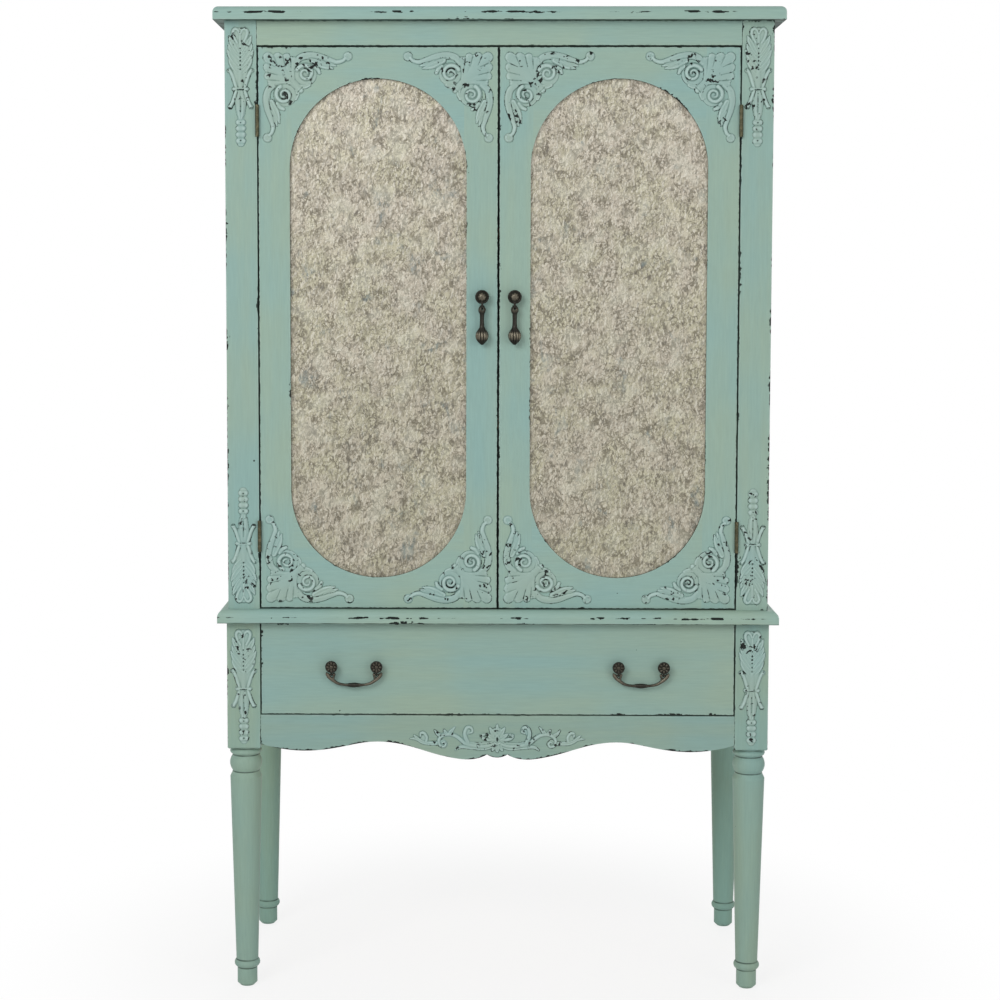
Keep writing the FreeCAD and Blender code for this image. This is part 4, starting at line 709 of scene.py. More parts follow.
CORNER_SCROLL = [
    ("plate", 1.6, [(70, 36.6, 18.6)]),
    ("rib", 4.7, volute(70, 35.4, 14.6, 3.6, 1.42, 205, 4.5)),
    ("rib", 3.4, [(54, 19, 5), (62, 9.6, 5.6), (76, 6.2, 6), (92, 8.2, 5.8), (108, 13.4, 5), (121, 16.8, 4),
                  (131, 14.6, 3.4), (136, 10, 3.2)]),
    ("dip", 0.8, [(76, 10, 1), (91, 12, 1), (106, 16.6, 0.9), (117, 18.8, 0.6)]),
    ("plate", 2.2, [(139.5, 7.6, 7.4)]),
    ("rib", 3.3, volute(139.5, 7.6, 5.2, 4.4, 0.95, 170, 2.1, -1)),
    ("leaf", 3.1, [(82, 14, 5), (94, 20, 6), (105, 24.4, 4.4), (115, 27, 1.4)]),
    ("leaf", 2.9, [(99, 14, 4), (109, 19.8, 4.2), (119.6, 23, 1.4)]),
    ("rib", 2.8, [(84, 24, 3.4), (90, 28.4, 3.8), (93, 34.4, 2.8)]),
    ("leaf", 2.4, [(76, 54, 3), (68, 57, 3.4), (59, 55, 3)]),
]

corner = CORNER_LEAVES + CORNER_MIDDLE + CORNER_SCROLL
corner += turned_over(CORNER_LEAVES + CORNER_SCROLL)
corner_grid = modelled(corner, -1.2, 147.6, -1.2, 147.6, 0.72)
for side, sign, seed in (("left", -1, 3.0), ("right", 1, 21.0)):
    low, high = (corner_point / MM for corner_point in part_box(f"door_{side}_carvings"))
    wood = high.y
    inner, outer = (high.x, low.x) if sign < 0 else (low.x, high.x)
    places = [(corner_grid, outer, wood, high.z, -sign, -1), (corner_grid, inner, wood, high.z, sign, -1),
              (corner_grid, outer, wood, low.z, -sign, 1), (corner_grid, inner, wood, low.z, sign, 1)]
    carved(f"door_{side}_corner_carvings", places, f"door_{side}", f"door_{side}_carvings",
           carving_paint(f"door_{side}_carving_paint", seed))

# ---------------------------------------------------------------- carvings on the posts and leg blocks
# Six husk drops of the same moulded composition: a tuft of leaves, two pairs of scrolls tied by a band,
# and four beads. They are glued down the middle of the upper posts, the lower pair upside down, and on
# the leg blocks.
HUSK = [
    ("plate", 2.2, [(0, 12, 11), (0, 26, 14), (0, 44, 15.5), (0, 60, 14.5), (0, 76, 12.5), (0, 92, 11),
                    (0, 101, 10.5), (0, 112, 11.5), (0, 126, 9), (0, 140, 7)]),
    ("rib", 3.6, [(0.8, 11.6, 2.6), (3.6, 5.6, 3), (8, 3.8, 3.4), (11.4, 8.4, 3.5), (9.6, 17, 3.3),
                  (5, 26, 3)]),
    ("rib", 3.3, [(0, 33, 2.6), (0, 22, 3.4), (0, 14, 2.6)]),
    ("leaf", 3.5, [(3, 43, 4), (9.4, 33, 5.4), (14.4, 23.6, 4.4), (17.8, 15.6, 1.6)]),
    ("leaf", 3.3, [(3, 53, 4), (10, 45, 5), (16.4, 35, 3.6), (18.6, 28.6, 1.4)]),
    ("leaf", 3.7, [(3, 64, 4.4), (10.6, 54.6, 5.8), (17, 45, 4.2), (20.6, 38, 1.6)]),
    ("leaf", 3.2, [(3, 74, 4), (9.6, 66.6, 5), (15.6, 58, 3.6), (18.4, 52, 1.4)]),
    ("rib", 3.5, [(0, 72, 4.4), (0, 84, 5.8), (0, 97, 5)]),
    ("rib", 3.6, [(6.6, 99, 3.2), (9.4, 89, 3.6), (12.6, 79, 3.6), (16.4, 72, 3.3), (18.4, 70, 3)]),
    ("bead", 3.9, [(18.4, 70.4, 3.8)]),
    ("plate", 3.9, [(-10.4, 100.6, 3.5), (10.4, 100.6, 3.5)]),
    ("rib", 3.6, [(6.6, 103, 3.2), (9.4, 112, 3.6), (12.6, 121, 3.5), (16, 127.6, 3.3)]),
    ("bead", 3.9, [(17, 129.4, 3.8)]),
    ("leaf", 3.5, [(0, 104, 5), (0, 120, 8.4), (0, 136, 7), (0, 149.6, 3)]),
    ("dip", 1.0, [(0, 112, 0.8), (0, 126, 1.1), (0, 138, 0.8)]),
    ("plate", 1.8, [(0, 146, 5), (0, 188, 6)]),
]
HUSK += [("rib", 3.5, [(-3.6, down, 4.7), (0, down, 4.9), (3.6, down, 4.7)])
         for down in (154.4, 164.4, 174.4, 184.8)]
HUSK += [("pit", 1.4, [(0, down, radius)]) for down, radius in (
    (35, 1.1), (43, 1.4), (49, 1.3), (55, 1.4), (62, 1.4), (69, 1.2), (155, 1.2), (184, 1.5))]
HUSK += [("pit", 0.8, [(20, 67.4, 1.3), (19.6, 71, 1.2)]), ("pit", 0.8, [(15, 131.6, 1.1), (18.8, 131, 1.3)]),
         ("pit", 0.8, [(-5, 101.4, 1), (-1.6, 101.6, 1.2), (1.6, 101.2, 0.9)])]
husk_grid = modelled(both_sides(HUSK), -25, 25, -0.4, 193.6, 0.68)
low, high = (corner_point / MM for corner_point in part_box("post_carvings"))
post_low, post_high = (corner_point / MM for corner_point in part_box("front_post_right"))
block_low, block_high = (corner_point / MM for corner_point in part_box("front_leg_right"))
post_middle, block_middle = (post_low.x + post_high.x) / 2, (block_low.x + block_high.x) / 2
block_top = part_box("waist_board")[0].z / MM
top_margin, foot_margin, block_margin = 10, 9, 12
places = []
for sign in (-1, 1):
    places += [(husk_grid, sign * post_middle, high.y, post_high.z - top_margin, 1, -1),
               (husk_grid, sign * post_middle, high.y, post_low.z + foot_margin, 1, 1),
               (husk_grid, sign * block_middle, high.y, block_top - block_margin, 1, -1)]
carved("post_husk_carvings", places, "case", "post_carvings", carving_paint("husk_carving_paint", 33.0))

# ---------------------------------------------------------------- carving on the front apron
# One moulded spray over the apron's middle lobe: a small open flower with a scrolling branch to each
# side, made and painted as the others are. Its points go (across, up, half width).
SPRAY = [
    ("plate", 2.2, [(0, 1, 13), (0, 9, 12)]),
    ("plate", 1.4, [(6, -8, 5), (30, -10, 5), (50, -8, 5)]),
    ("plate", 1.2, [(50, 14, 6)]),
    ("plate", 1.2, [(122, 2, 6)]),
    ("pit", 1.6, [(0, 2.4, 1.6), (0, -2, 1.1)]),
    ("leaf", 3.7, [(0, 2, 3.7), (0, 13, 5.4), (0, 24, 2.2)]),
    ("leaf", 3.4, [(2, 3, 3.7), (7.6, 12.5, 4.6), (12, 19.4, 2)]),
    ("leaf", 3.2, [(4, 0, 3.7), (11.6, 5.6, 4.1), (17.4, 9.4, 1.8)]),
    ("leaf", 3.0, [(4, -3, 3.7), (10.4, -6.6, 3.9), (14.6, -8.8, 2)]),
    ("leaf", 3.2, [(2, -4, 3.7), (5.4, -12.4, 4.1), (8.2, -18, 2)]),
    ("leaf", 3.4, [(0, -4, 3.7), (0, -13, 4.9), (0, -19.6, 2.4)]),
    ("rib", 3.9, [(-5, -5, 2.6), (0, -7, 2.8), (5, -5, 2.6)]),
    ("rib", 4, [(0, 8, 3.4), (3.6, 2, 2.2), (0, -3.4, 2.4)]),
    ("rib", 3.5, [(7, -7, 3.2), (16, -10.4, 3.5), (28, -11.2, 3.7), (43, -9.3, 3.7), (54, -5.6, 3.7),
                  (63, 1.8, 3.5), (71, 6.9, 3.4), (80, 9.3, 3.4), (89, 8, 3.4), (95.4, 3.4, 3.2),
                  (97.6, -3, 3), (95, -9.8, 2.9), (89, -11.4, 2.8), (85.8, -7.2, 2.7), (88.6, -3.6, 2.4),
                  (92, -5.6, 2.2)]),
    ("plate", 1.3, [(91.4, -6, 6.5)]),
    ("leaf", 3.0, [(97, -6, 3.2), (108, -6.4, 3.5), (120, -5.6, 3.4), (129, -2, 3.2), (135, 3.4, 2.7),
                   (138.8, 7, 1.2)]),
    ("leaf", 2.6, [(129, -1, 2.9), (138, 1.4, 2.4), (145.4, 1.3, 1)]),
    ("rib", 2.9, [(119, -4, 2.9), (118, 4, 2.9), (122.6, 11, 2.8), (128, 10.6, 2.4), (128, 6, 2.2)]),
    ("leaf", 2.9, [(92, 6, 3.2), (99, 9, 3.2), (104.6, 15.6, 1.2)]),
    ("leaf", 2.7, [(84, 9, 3.2), (87, 13, 2.9), (88.8, 16.6, 1.2)]),
    ("leaf", 2.9, [(81, 9, 3.2), (76.5, 14.3, 3.2), (70.8, 21, 1.2)]),
    ("rib", 3.2, [(47.5, -8, 3.7), (52.4, 2, 3.8), (54, 12, 3.5), (50, 20.4, 3.2), (43.6, 20, 2.7),
                  (41.6, 13.6, 2.4), (46, 11.4, 2.1)]),
    ("leaf", 2.8, [(8, -11, 3.2), (22, -14.8, 3.3), (45, -12.9, 3.3), (61, -12.4, 2.9), (69.6, -17.6, 1.2)]),
    ("rib", 3.2, [(6, 0, 3.4), (15, 0, 3.4), (23, 2.4, 3.2), (26, 7, 2.6), (21.6, 8.6, 2.2)]),
]
low, high = (corner_point / MM for corner_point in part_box("apron_carving"))
spray_grid = modelled(both_sides([(form, rise, [(u, -v, half) for u, v, half in points])
                                  for form, rise, points in SPRAY]), -147, 147, -27, 22.5,
                      0.55)
spray_drop = 40.8
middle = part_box("apron")[1].z / MM - spray_drop
carved("apron_spray_carving", [(spray_grid, 0, high.y, middle, 1, -1)], "case", "apron_carving",
       carving_paint("spray_carving_paint", 51.0))

# ---------------------------------------------------------------- hinges
# Four steel butt hinges, brass plated and tarnished, two to a door. The leaves are let into the door edge
# and the post, and the barrels stand in front of the gap. Countersunk cross-head screws hold each leaf.
brass = metal("tarnished_brass", shade(72, 71, 54), shade(104, 98, 76), 0.45, shade(46, 44, 34), 0.006)
for part in ("post_hinge_leaves", "hinge_pins", "door_left_hinge_leaves", "door_right_hinge_leaves"):
    dress(part, brass)

screw_tree, given = new_geometry_tree("hinge_screw_row", {
    "Lower": ("Vector", (0, 0, 0)), "Upper": ("Vector", (0, 0, 0)), "Facing": ("Rotation", (0, 0, 0)),
    "Screw": ("Object", None)})
pair = step(screw_tree, "MeshLine", {"Count": 2, "Start Location": given["Lower"], "Offset": given["Upper"]},
            mode="END_POINTS")
pattern = node(screw_tree, "GeometryNodeObjectInfo", {"Object": given["Screw"]}).outputs["Geometry"]
row = step(screw_tree, "InstanceOnPoints", {"Points": pair, "Instance": pattern, "Rotation": given["Facing"]})
close_tree(screw_tree, given, step(screw_tree, "RealizeInstances", {0: row}), smooth=False)


def join_shapes(name, shapes, finish, smooth_angle):
    """The shapes in one mesh, smooth but for arrises sharper than the angle."""
    mesh = bpy.data.meshes.new(name)
    whole = bmesh.new()
    for shape in shapes:
        part = bpy.data.meshes.new("part")
        shape.to_mesh(part)
        shape.free()
        whole.from_mesh(part)
        bpy.data.meshes.remove(part)
    for face in whole.faces:
        face.smooth = True
    for edge in whole.edges:
        if len(edge.link_faces) == 2 and edge.calc_face_angle(0) > math.radians(smooth_angle):
            edge.smooth = False
    whole.to_mesh(mesh)
    whole.free()
    mesh.materials.append(finish)
    return placed(name, mesh)


def cross_head_screw():
    """A countersunk screw, its head's face at the origin and its shank along -Z, with a cross recess."""
    head, cross_arm, cross, deep = 3.0 * MM, 1.9 * MM, 0.45 * MM, 1.0 * MM
    neck_share, thread_share = 0.47, 0.4
    neck_depth, thread_depth, point_depth = 2.0 * MM, 11 * MM, 13.8 * MM
    outline = []
    for arm in range(4):
        turn = Matrix.Rotation(arm * math.pi / 2, 3, "Z")
        for x, y in ((cross, cross), (cross_arm, cross), (cross_arm, -cross)):
            outline.append(turn @ Vector((x, -y, 0)))
    shape = bmesh.new()
    slots = [shape.verts.new(point) for point in outline]
    pit = [shape.verts.new((point.x * 0.6, point.y * 0.6, -deep)) for point in outline]
    rim = [shape.verts.new((head * math.cos(a), head * math.sin(a), 0))
           for a in (math.tau * tick / 24 for tick in range(24))]
    under = [shape.verts.new((neck_share * vert.co.x, neck_share * vert.co.y, -neck_depth)) for vert in rim]
    tip = [shape.verts.new((thread_share * vert.co.x, thread_share * vert.co.y, -thread_depth))
           for vert in rim]
    end = shape.verts.new((0, 0, -point_depth))
    for loop in (rim, slots, pit, under, tip):
        for first, second in zip(loop, loop[1:] + loop[:1]):
            shape.edges.new((first, second))
    face_edges = [edge for edge in shape.edges if all(vert in rim or vert in slots for vert in edge.verts)]
    bmesh.ops.triangle_fill(shape, edges=face_edges, normal=(0, 0, 1))
    shape.faces.new(pit)
    for upper, lower in ((slots, pit), (rim, under), (under, tip)):
        for a, b, c, d in zip(upper, upper[1:] + upper[:1], lower[1:] + lower[:1], lower):
            shape.faces.new((a, b, c, d))
    for first, second in zip(tip, tip[1:] + tip[:1]):
        shape.faces.new((first, second, end))
    bmesh.ops.recalc_face_normals(shape, faces=shape.faces)
    return shape


screw_finish = metal("screw_brass", shade(134, 112, 76), shade(178, 152, 108), 0.32, shade(80, 66, 46), 0.003)
for group, body, sides, out in (("post_hinge_screws", "case", (-1, 1), 1),
                                ("door_left_hinge_screws", "door_left", (-1,), -1),
                                ("door_right_hinge_screws", "door_right", (1,), -1)):
    low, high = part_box(group)
    y = (low.y + high.y) / 2
    spots = []
    for sign in sides:
        points = [vert.co for vert in cad[group].data.vertices if vert.co.x * sign > 0]
        heads = (min if out > 0 else max)(abs(point.x) for point in points)
        rows = []
        for height in sorted({round(point.z, 4) for point in points}):
            if not rows or height - rows[-1][-1] > 4 * MM:
                rows.append([])
            rows[-1].append(height)
        middles = [(row[0] + row[-1]) / 2 for row in rows]
        spots += [(sign * heads, lower, upper, sign * out) for lower, upper in zip(middles[::2], middles[1::2])]
    template = join_shapes(group + "_pattern", [cross_head_screw()], screw_finish, 30)
    for spot, (x, lower, upper, way) in enumerate(spots):
        made = made_by(screw_tree, f"{group}_{spot}", body, "antique_brass", Lower=(x, y, lower),
                       Upper=(x, y, upper), Facing=(0, -way * math.pi / 2, 0), Screw=template,
                       Finish=screw_finish)
        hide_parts(group)
    bpy.data.objects.remove(template)

# ---------------------------------------------------------------- catches and strikes
# Two brown plastic magnetic catches are screwed behind the frieze, and meet a zinc plated strike on each
# door.
finish, shader, where = new_finish("catch_plastic")
grain = cloud(where, 0.0009, 3, 0.6)
colour = blended(spread(cloud(where, 0.02, 2, 0.5), 0.35, 0.65), shade(98, 76, 60), shade(84, 64, 50))
lay_on(shader, colour, spread(grain, 0.3, 0.7, 0.45, 0.6), grain, 0.3, 0.1 * MM)
dress("door_catches", finish, soften=1.2 * MM)
zinc = metal("zinc_plating", shade(188, 192, 196), shade(214, 218, 222), 0.3, shade(150, 150, 146), 0.008)
for side in ("left", "right"):
    dress(f"door_{side}_strike", zinc, soften=0.3 * MM)

# ---------------------------------------------------------------- door pulls and their drops
# Cast bronze, darkened and then rubbed on the high spots, and lighter on the front of the boss as a
# painted highlight. A round boss on a short neck is screwed through the meeting stile. A pin in the
# tongue under it carries a drop: a forked cap, a waisted stem and a fluted bulb that ends in a point.


def held(value, low=0.0, high=1.0):
    return max(low, min(high, value))


def curved_profile(points, steps):
    """A turned outline in metres: a smooth curve through (radius, height) points in millimetres. It starts
    and ends on the axis, and keeps between the heights of its ends."""
    points = np.array(points, float)
    foot, top = points[0][1], points[-1][1]
    run = curve_through(points, [steps] * (len(points) - 1))
    inner = [(max(radius, 0) * MM, held(height, foot, top) * MM) for radius, height in run[1:-1]]
    return [(0, foot * MM), *inner, (0, top * MM)]


def lathed(profile, segments, flute=None):
    """A closed shape turned about Z from (radius, height) points that start and end on the axis. flute
    gives the share by which the radius changes at an angle, for the point of that number."""
    shape = bmesh.new()
    rows = []
    for number, (radius, height) in enumerate(profile):
        if radius < 1e-9:
            rows.append([shape.verts.new((0, 0, height))])
            continue
        row = []
        for turn in range(segments):
            angle = math.tau * turn / segments
            r = radius * (flute(angle, number) if flute else 1)
            row.append(shape.verts.new((r * math.cos(angle), r * math.sin(angle), height)))
        rows.append(row)
    for under, over in zip(rows, rows[1:]):
        for turn in range(segments):
            following = (turn + 1) % segments
            corners = [under[turn % len(under)], under[following % len(under)], over[following % len(over)],
                       over[turn % len(over)]]
            corners = [vert for spot, vert in enumerate(corners) if vert not in corners[:spot]]
            if len(corners) > 2:
                shape.faces.new(corners)
    bmesh.ops.recalc_face_normals(shape, faces=shape.faces)
    return shape


def moved(shape, place, turn=Matrix.Identity(4)):
    """The shape, turned about the origin and then moved to its place."""
    bmesh.ops.transform(shape, matrix=Matrix.Translation(place) @ turn, verts=shape.verts)
    return shape


def lug_plate(width, radius, fall, top):
    """A flat lug with a round foot about the origin. It is width thick along X and rises to top."""
    shape = bmesh.new()
    outline = [(radius * math.cos(a), radius * math.sin(a)) for a in np.linspace(math.pi, math.tau, 15)]
    outline += [(radius, top), (-radius, top)]
    back = [shape.verts.new((-width / 2, y, z)) for y, z in outline]
    face = [shape.verts.new((width / 2, y, z)) for y, z in outline]
    shape.faces.new(back)
    shape.faces.new(face[::-1])
    for a, b, c, d in zip(back, back[1:] + back[:1], face[1:] + face[:1], face):
        shape.faces.new((a, b, c, d))
    bmesh.ops.recalc_face_normals(shape, faces=shape.faces)
    bmesh.ops.bevel(shape, geom=[edge for edge in shape.edges if edge.calc_face_angle(0) > 1], offset=fall,
                    segments=2, affect="EDGES", profile=0.5)
    return shape


def slotted(shape, half, foot, top):
    """The shape, upright on Z, with a slot cut from its top down to foot, half wide to each side of X = 0."""
    cutter = bmesh.new()
    size = Matrix.Diagonal((2 * half, 3 * (top - foot), 2 * (top - foot), 1))
    bmesh.ops.create_cube(cutter, size=1, matrix=Matrix.Translation((0, 0, top)) @ size)
    blanks = []
    for part in (shape, cutter):
        mesh = bpy.data.meshes.new("slot_blank")
        part.to_mesh(mesh)
        part.free()
        blanks.append(placed("slot_blank", mesh))
    saw = blanks[0].modifiers.new("slot", "BOOLEAN")
    saw.operation, saw.solver, saw.object = "DIFFERENCE", "EXACT", blanks[1]
    bpy.context.view_layer.update()
    cut = bmesh.new()
    cut.from_mesh(blanks[0].evaluated_get(bpy.context.evaluated_depsgraph_get()).data)
    for blank in blanks:
        bpy.data.objects.remove(blank)
    return cut


def mark_rubs_and_highlights(piece, rule):
    """Stores for each point its rubbed wear and painted highlight, for the bronze finish."""
    layer = piece.data.attributes.new("crest", "FLOAT", "POINT")
    layer.data.foreach_set("value", np.array([rule(vert.co) for vert in piece.data.vertices], np.float32))
    return piece


bronze, shader, where = new_finish("dark_bronze")
crest = Value(node(where.tree, "ShaderNodeAttribute", attribute_name="crest").outputs["Fac"])
fine = cloud(where, 0.0007, 3, 0.6, 7.0)
# crest is rubbed wear on the high spots, and on the front of the boss, the rod and the eyes a painted
# highlight.
rubbed = (crest + 0.04) * spread(cloud(where, 0.005, 3, 0.6, 3.0), 0.3, 0.6, 0.35)
colour = blended(rubbed, shade(33, 32, 27), shade(124, 117, 101))
colour = blended(spread(fine, 0.5, 0.72, 0.0, 0.6), colour, shade(19, 19, 16))
shader.inputs["Metallic"].default_value = 0.75
lay_on(shader, colour, spread(fine, 0.35, 0.7, 0.25, 0.44), fine, 0.3, 0.15 * MM)

FACE_OUT = Matrix.Rotation(math.pi / 2, 4, "X")
boss = curved_profile([(0, 0), (8, 0), (8.05, 1.2), (7.2, 2), (4.5, 3), (4.4, 5), (6, 6.2), (9.4, 7.4),
                       (11.1, 10), (11.5, 12.4), (11.3, 14.4), (10.5, 15.8), (9.5, 16.1), (8.8, 15.7),
                       (8.0, 16.6), (6.4, 18.9), (4.6, 20.2), (2.6, 20.9), (0, 21)], 4)
bulb_height = 66
bulb = curved_profile([(0, 0), (1.8, 0.4), (3.8, 2.1), (6.6, 5), (9.1, 8.6), (10.6, 12.6), (10.8, 15.6),
                       (10.1, 19), (8.3, 22.6), (6.0, 26), (4.5, 28.8), (3.9, 32), (3.65, 38), (3.6, 44),
                       (3.8, 50), (4.6, 52.2), (5.7, 54.4), (6.2, 56.8), (6.1, 59), (5.3, 61.2), (4.6, 62.4),
                       (3.7, 63.6), (2.7, 64.8), (1.4, 65.7), (0, bulb_height)], 5)


def petals(angle, number):
    """Eight shallow petals on the boss's dome inside the rim."""
    reach, out = boss[number][0] / MM, boss[number][1] / MM
    share = held((out - 16.0) / 1.2) * held(reach / 3)
    return 1 - 0.13 * share * (1 - abs(math.cos(4 * angle)) ** 0.6)


def flutes(angle, number):
    """Twelve deep flutes from the point to the shoulder of the bulb, and faint ones on the cap."""
    height = bulb[number][1] / MM
    share = held((height - 1) / 5) * held((28 - height) / 8)
    cap = held((height - 52) / 3) * held((61 - height) / 3)
    ridge = 1 - abs(math.cos(6 * angle)) ** 0.55
    return 1 - 0.19 * share * ridge - 0.06 * cap * ridge


boss_radius, cap_reach = 11.5 * MM, 3.4 * MM
lug_width, lug_radius, lug_arris = 3.5 * MM, 5.7 * MM, 0.3 * MM
pin_radius, pin_half = 1.2 * MM, 3.9 * MM
slot_half, slot_foot = 1.85 * MM, 57.2 * MM
for side in ("left", "right"):
    low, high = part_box(f"door_{side}_pull")
    x, front, top = (low.x + high.x) / 2, high.y, high.z - boss_radius
    drop_low, drop_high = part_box(f"pull_drop_{side}")
    y, pivot, tip = (drop_low.y + drop_high.y) / 2, drop_high.z - cap_reach, drop_low.z
    knob = moved(lathed(boss, 64, petals), (x, front, top), FACE_OUT)
    lug = moved(lug_plate(lug_width, lug_radius, lug_arris, top - pivot - 4 * MM), (x, y, pivot))
    pin = moved(lathed([(0, -pin_half), (pin_radius, -pin_half), (pin_radius, pin_half), (0, pin_half)], 20),
                (x, y, pivot), Matrix.Rotation(math.pi / 2, 4, "Y"))
    piece = join_shapes(f"door_{side}_pull_boss", [knob, lug, pin], bronze, 38)
    # Painted highlight, and rubbed wear: the front of the dome is lighter.
    mark_rubs_and_highlights(piece, lambda point: 0.6 * held(((front - point.y) / MM - 17.5) / 3) if point.z > pivot else 0)
    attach(piece, f"door_{side}")
    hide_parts(f"door_{side}_pull")

    def bulb_crest(point):
        reach, height = math.hypot(point.x - x, point.y - y) / MM, (point.z - tip) / MM
        return 0.85 * held((reach - 8.4) / 2) + 0.3 * held((height - 50) / 4) * held((reach - 5.0) / 1)

    drop = slotted(lathed(bulb, 120, flutes), slot_half, slot_foot, bulb_height * MM)
    piece = join_shapes(f"pull_drop_{side}_bulb", [moved(drop, (x, y, tip))], bronze, 60)
    mark_rubs_and_highlights(piece, bulb_crest)
    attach(piece, f"drop_{side}")
    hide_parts(f"pull_drop_{side}")

# ---------------------------------------------------------------- drawer front and drawer box
# The front is one poplar board, painted along the grain, with its arrises rubbed through. Behind it is a
# bare pine box: two sides with a groove for the thin bottom, and a back let in between them.
# The front is painted a little darker than the doors, partly as painted shade low on the case.
painted("drawer_front", "x", 131.0, soften=0.6 * MM, wear=1.3, tint=0.93, rim=0.8 * MM)
for part, grain, seed in (("drawer_side_left", "y", 141.0), ("drawer_side_right", "y", 149.0),
                          ("drawer_back", "x", 153.0), ("drawer_bottom", "x", 157.0)):
    dress(part, pine(part + "_pine", grain, seed, 1.02 if part == "drawer_bottom" else 0.97))

# ---------------------------------------------------------------- drawer pulls: rosettes and bails
# Two drop bails of the same bronze. Each hangs between two posts that end in a petalled rosette, and is
# held on a pin through the lug under it. The bail is a bent rod that swells to a ribbed grip. The front
# of the rod and of its eyes is lighter, as a painted highlight, and the rosettes are rubbed on their petals.
petal_tree, given = new_geometry_tree("rosette_petals", {
    "Count": ("Int", 8), "Ring radius": ("Float", 0.0062), "Petal radius": ("Float", 0.0026),
    "Place": ("Vector", (0, 0, 0))})
ring = step(petal_tree, "MeshCircle", {"Vertices": given["Count"], "Radius": given["Ring radius"]})
petal = step(petal_tree, "MeshUVSphere", {"Segments": 14, "Rings": 8, "Radius": given["Petal radius"]})
long_petal = step(petal_tree, "Transform", {"Geometry": petal, "Scale": (1.35, 0.82, 0.6)})
spot = step(petal_tree, "InputPosition", {})
facing = node(petal_tree, "FunctionNodeAlignRotationToVector", {"Vector": spot}, axis="X").outputs[0]
circle = step(petal_tree, "InstanceOnPoints", {"Points": ring, "Instance": long_petal, "Rotation": facing})
solid = step(petal_tree, "RealizeInstances", {0: circle})
close_tree(petal_tree, given, step(petal_tree, "Transform", {
    "Geometry": solid, "Translation": given["Place"], "Rotation": UPRIGHT}))

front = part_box("bail_posts")[1].y
rod_back = 4.3 * MM
pivot_y, pivot_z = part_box("bail_left")[1].y - rod_back, 540.3 * MM
rosette_z, bail_middle = 553.5 * MM, 238.5
rosette = curved_profile([(0, 0), (6.6, 0), (6.6, 1.4), (5.6, 2), (4.4, 2.8), (4.4, 10.6), (7.4, 11.6),
                          (9.8, 12.9), (10.2, 14.4), (9.7, 15.9), (8.7, 16.4), (7.9, 15.9), (7.3, 14.9),
                          (5.0, 14.7), (3.6, 15.3), (2.9, 16.6), (1.5, 17.2), (0, 17.3)], 4)
rosettes = []
for x in (-276, -201, 201, 276):
    place = Vector((x * MM, front, rosette_z))
    rosettes.append(moved(lathed(rosette, 48), place, FACE_OUT))
    rosettes.append(moved(lug_plate(2.6 * MM, 2.4 * MM, 0.3 * MM, 10 * MM), (x * MM, pivot_y, pivot_z)))
    crown = made_by(petal_tree, f"rosette_petals_{x}".replace("-", "m"), "drawer", "dark_bronze",
                    Place=place + Vector((0, -14.9 * MM, 0)), Finish=bronze)
    mark_rubs_and_highlights(crown, lambda point: 0.4 * held(((front - point.y) / MM - 15.7) / 0.9))
    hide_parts("bail_posts")
piece = join_shapes("drawer_pull_rosettes", rosettes, bronze, 38)
mark_rubs_and_highlights(piece, lambda point: 0.4 * held(((front - point.y) / MM - 16.4) / 0.7))
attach(piece, "drawer")
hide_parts("bail_posts")

rod_tree, given = new_geometry_tree("bail_rod", {"Path": ("Object", None), "Sides": ("Int", 20)})
path = node(rod_tree, "GeometryNodeObjectInfo", {"Object": given["Path"]}).outputs["Geometry"]
line = step(rod_tree, "MeshToCurve", {0: path})
thick = step(rod_tree, "InputNamedAttribute", {"Name": "thick"}, data_type="FLOAT")
ring = step(rod_tree, "CurvePrimitiveCircle", {"Resolution": given["Sides"], "Radius": 1.0})
tube = step(rod_tree, "CurveToMesh", {"Curve": line, "Profile Curve": ring, "Scale": thick, "Fill Caps": True})
close_tree(rod_tree, given, step(rod_tree, "RealizeInstances", {0: tube}))

# Half the rod, from an end behind the rosette down to the middle of the grip: (across, up, radius).
HALF_BAIL = [(44.6, 543.4, 1.2), (44.8, 542.9, 2.2), (44.7, 541.8, 2.8), (44.0, 539.4, 3.0),
             (42.4, 536.9, 3.05), (39.4, 533.8, 3.0), (36.4, 531.3, 2.9), (33.1, 529.0, 2.75),
             (29.4, 526.6, 2.6), (25.5, 524.8, 2.4), (20.5, 523.5, 2.25), (15.8, 522.9, 2.2),
             (12.6, 522.6, 2.4), (10.2, 522.5, 2.75), (9.2, 522.5, 3.2), (8.2, 522.5, 2.95), (7.2, 522.5, 3.5),
             (6.2, 522.5, 3.25), (5.0, 522.5, 3.85), (3.8, 522.5, 3.5), (2.4, 522.5, 4.1), (1.2, 522.5, 3.75),
             (0.6, 522.5, 4.0), (0, 522.5, 4.1)]
left_half, right_half = (smooth_run([(sign * across, up, radius) for across, up, radius in HALF_BAIL], 0.45)
                         for sign in (-1, 1))
bail_run = np.vstack([left_half, right_half[::-1][1:]])
eye_reach = 2.6
eye_ball = [(0, -eye_reach), *[(eye_reach * math.cos(a), eye_reach * math.sin(a))
                               for a in np.linspace(-1.4, 1.4, 13)], (0, eye_reach)]
eye_pin = [(0, 0), (1.4, 0), (1.4, 10.8), (0, 10.8)]
eye_across, branch_across, branch_z = 33.3, 35.2, 530.6 * MM
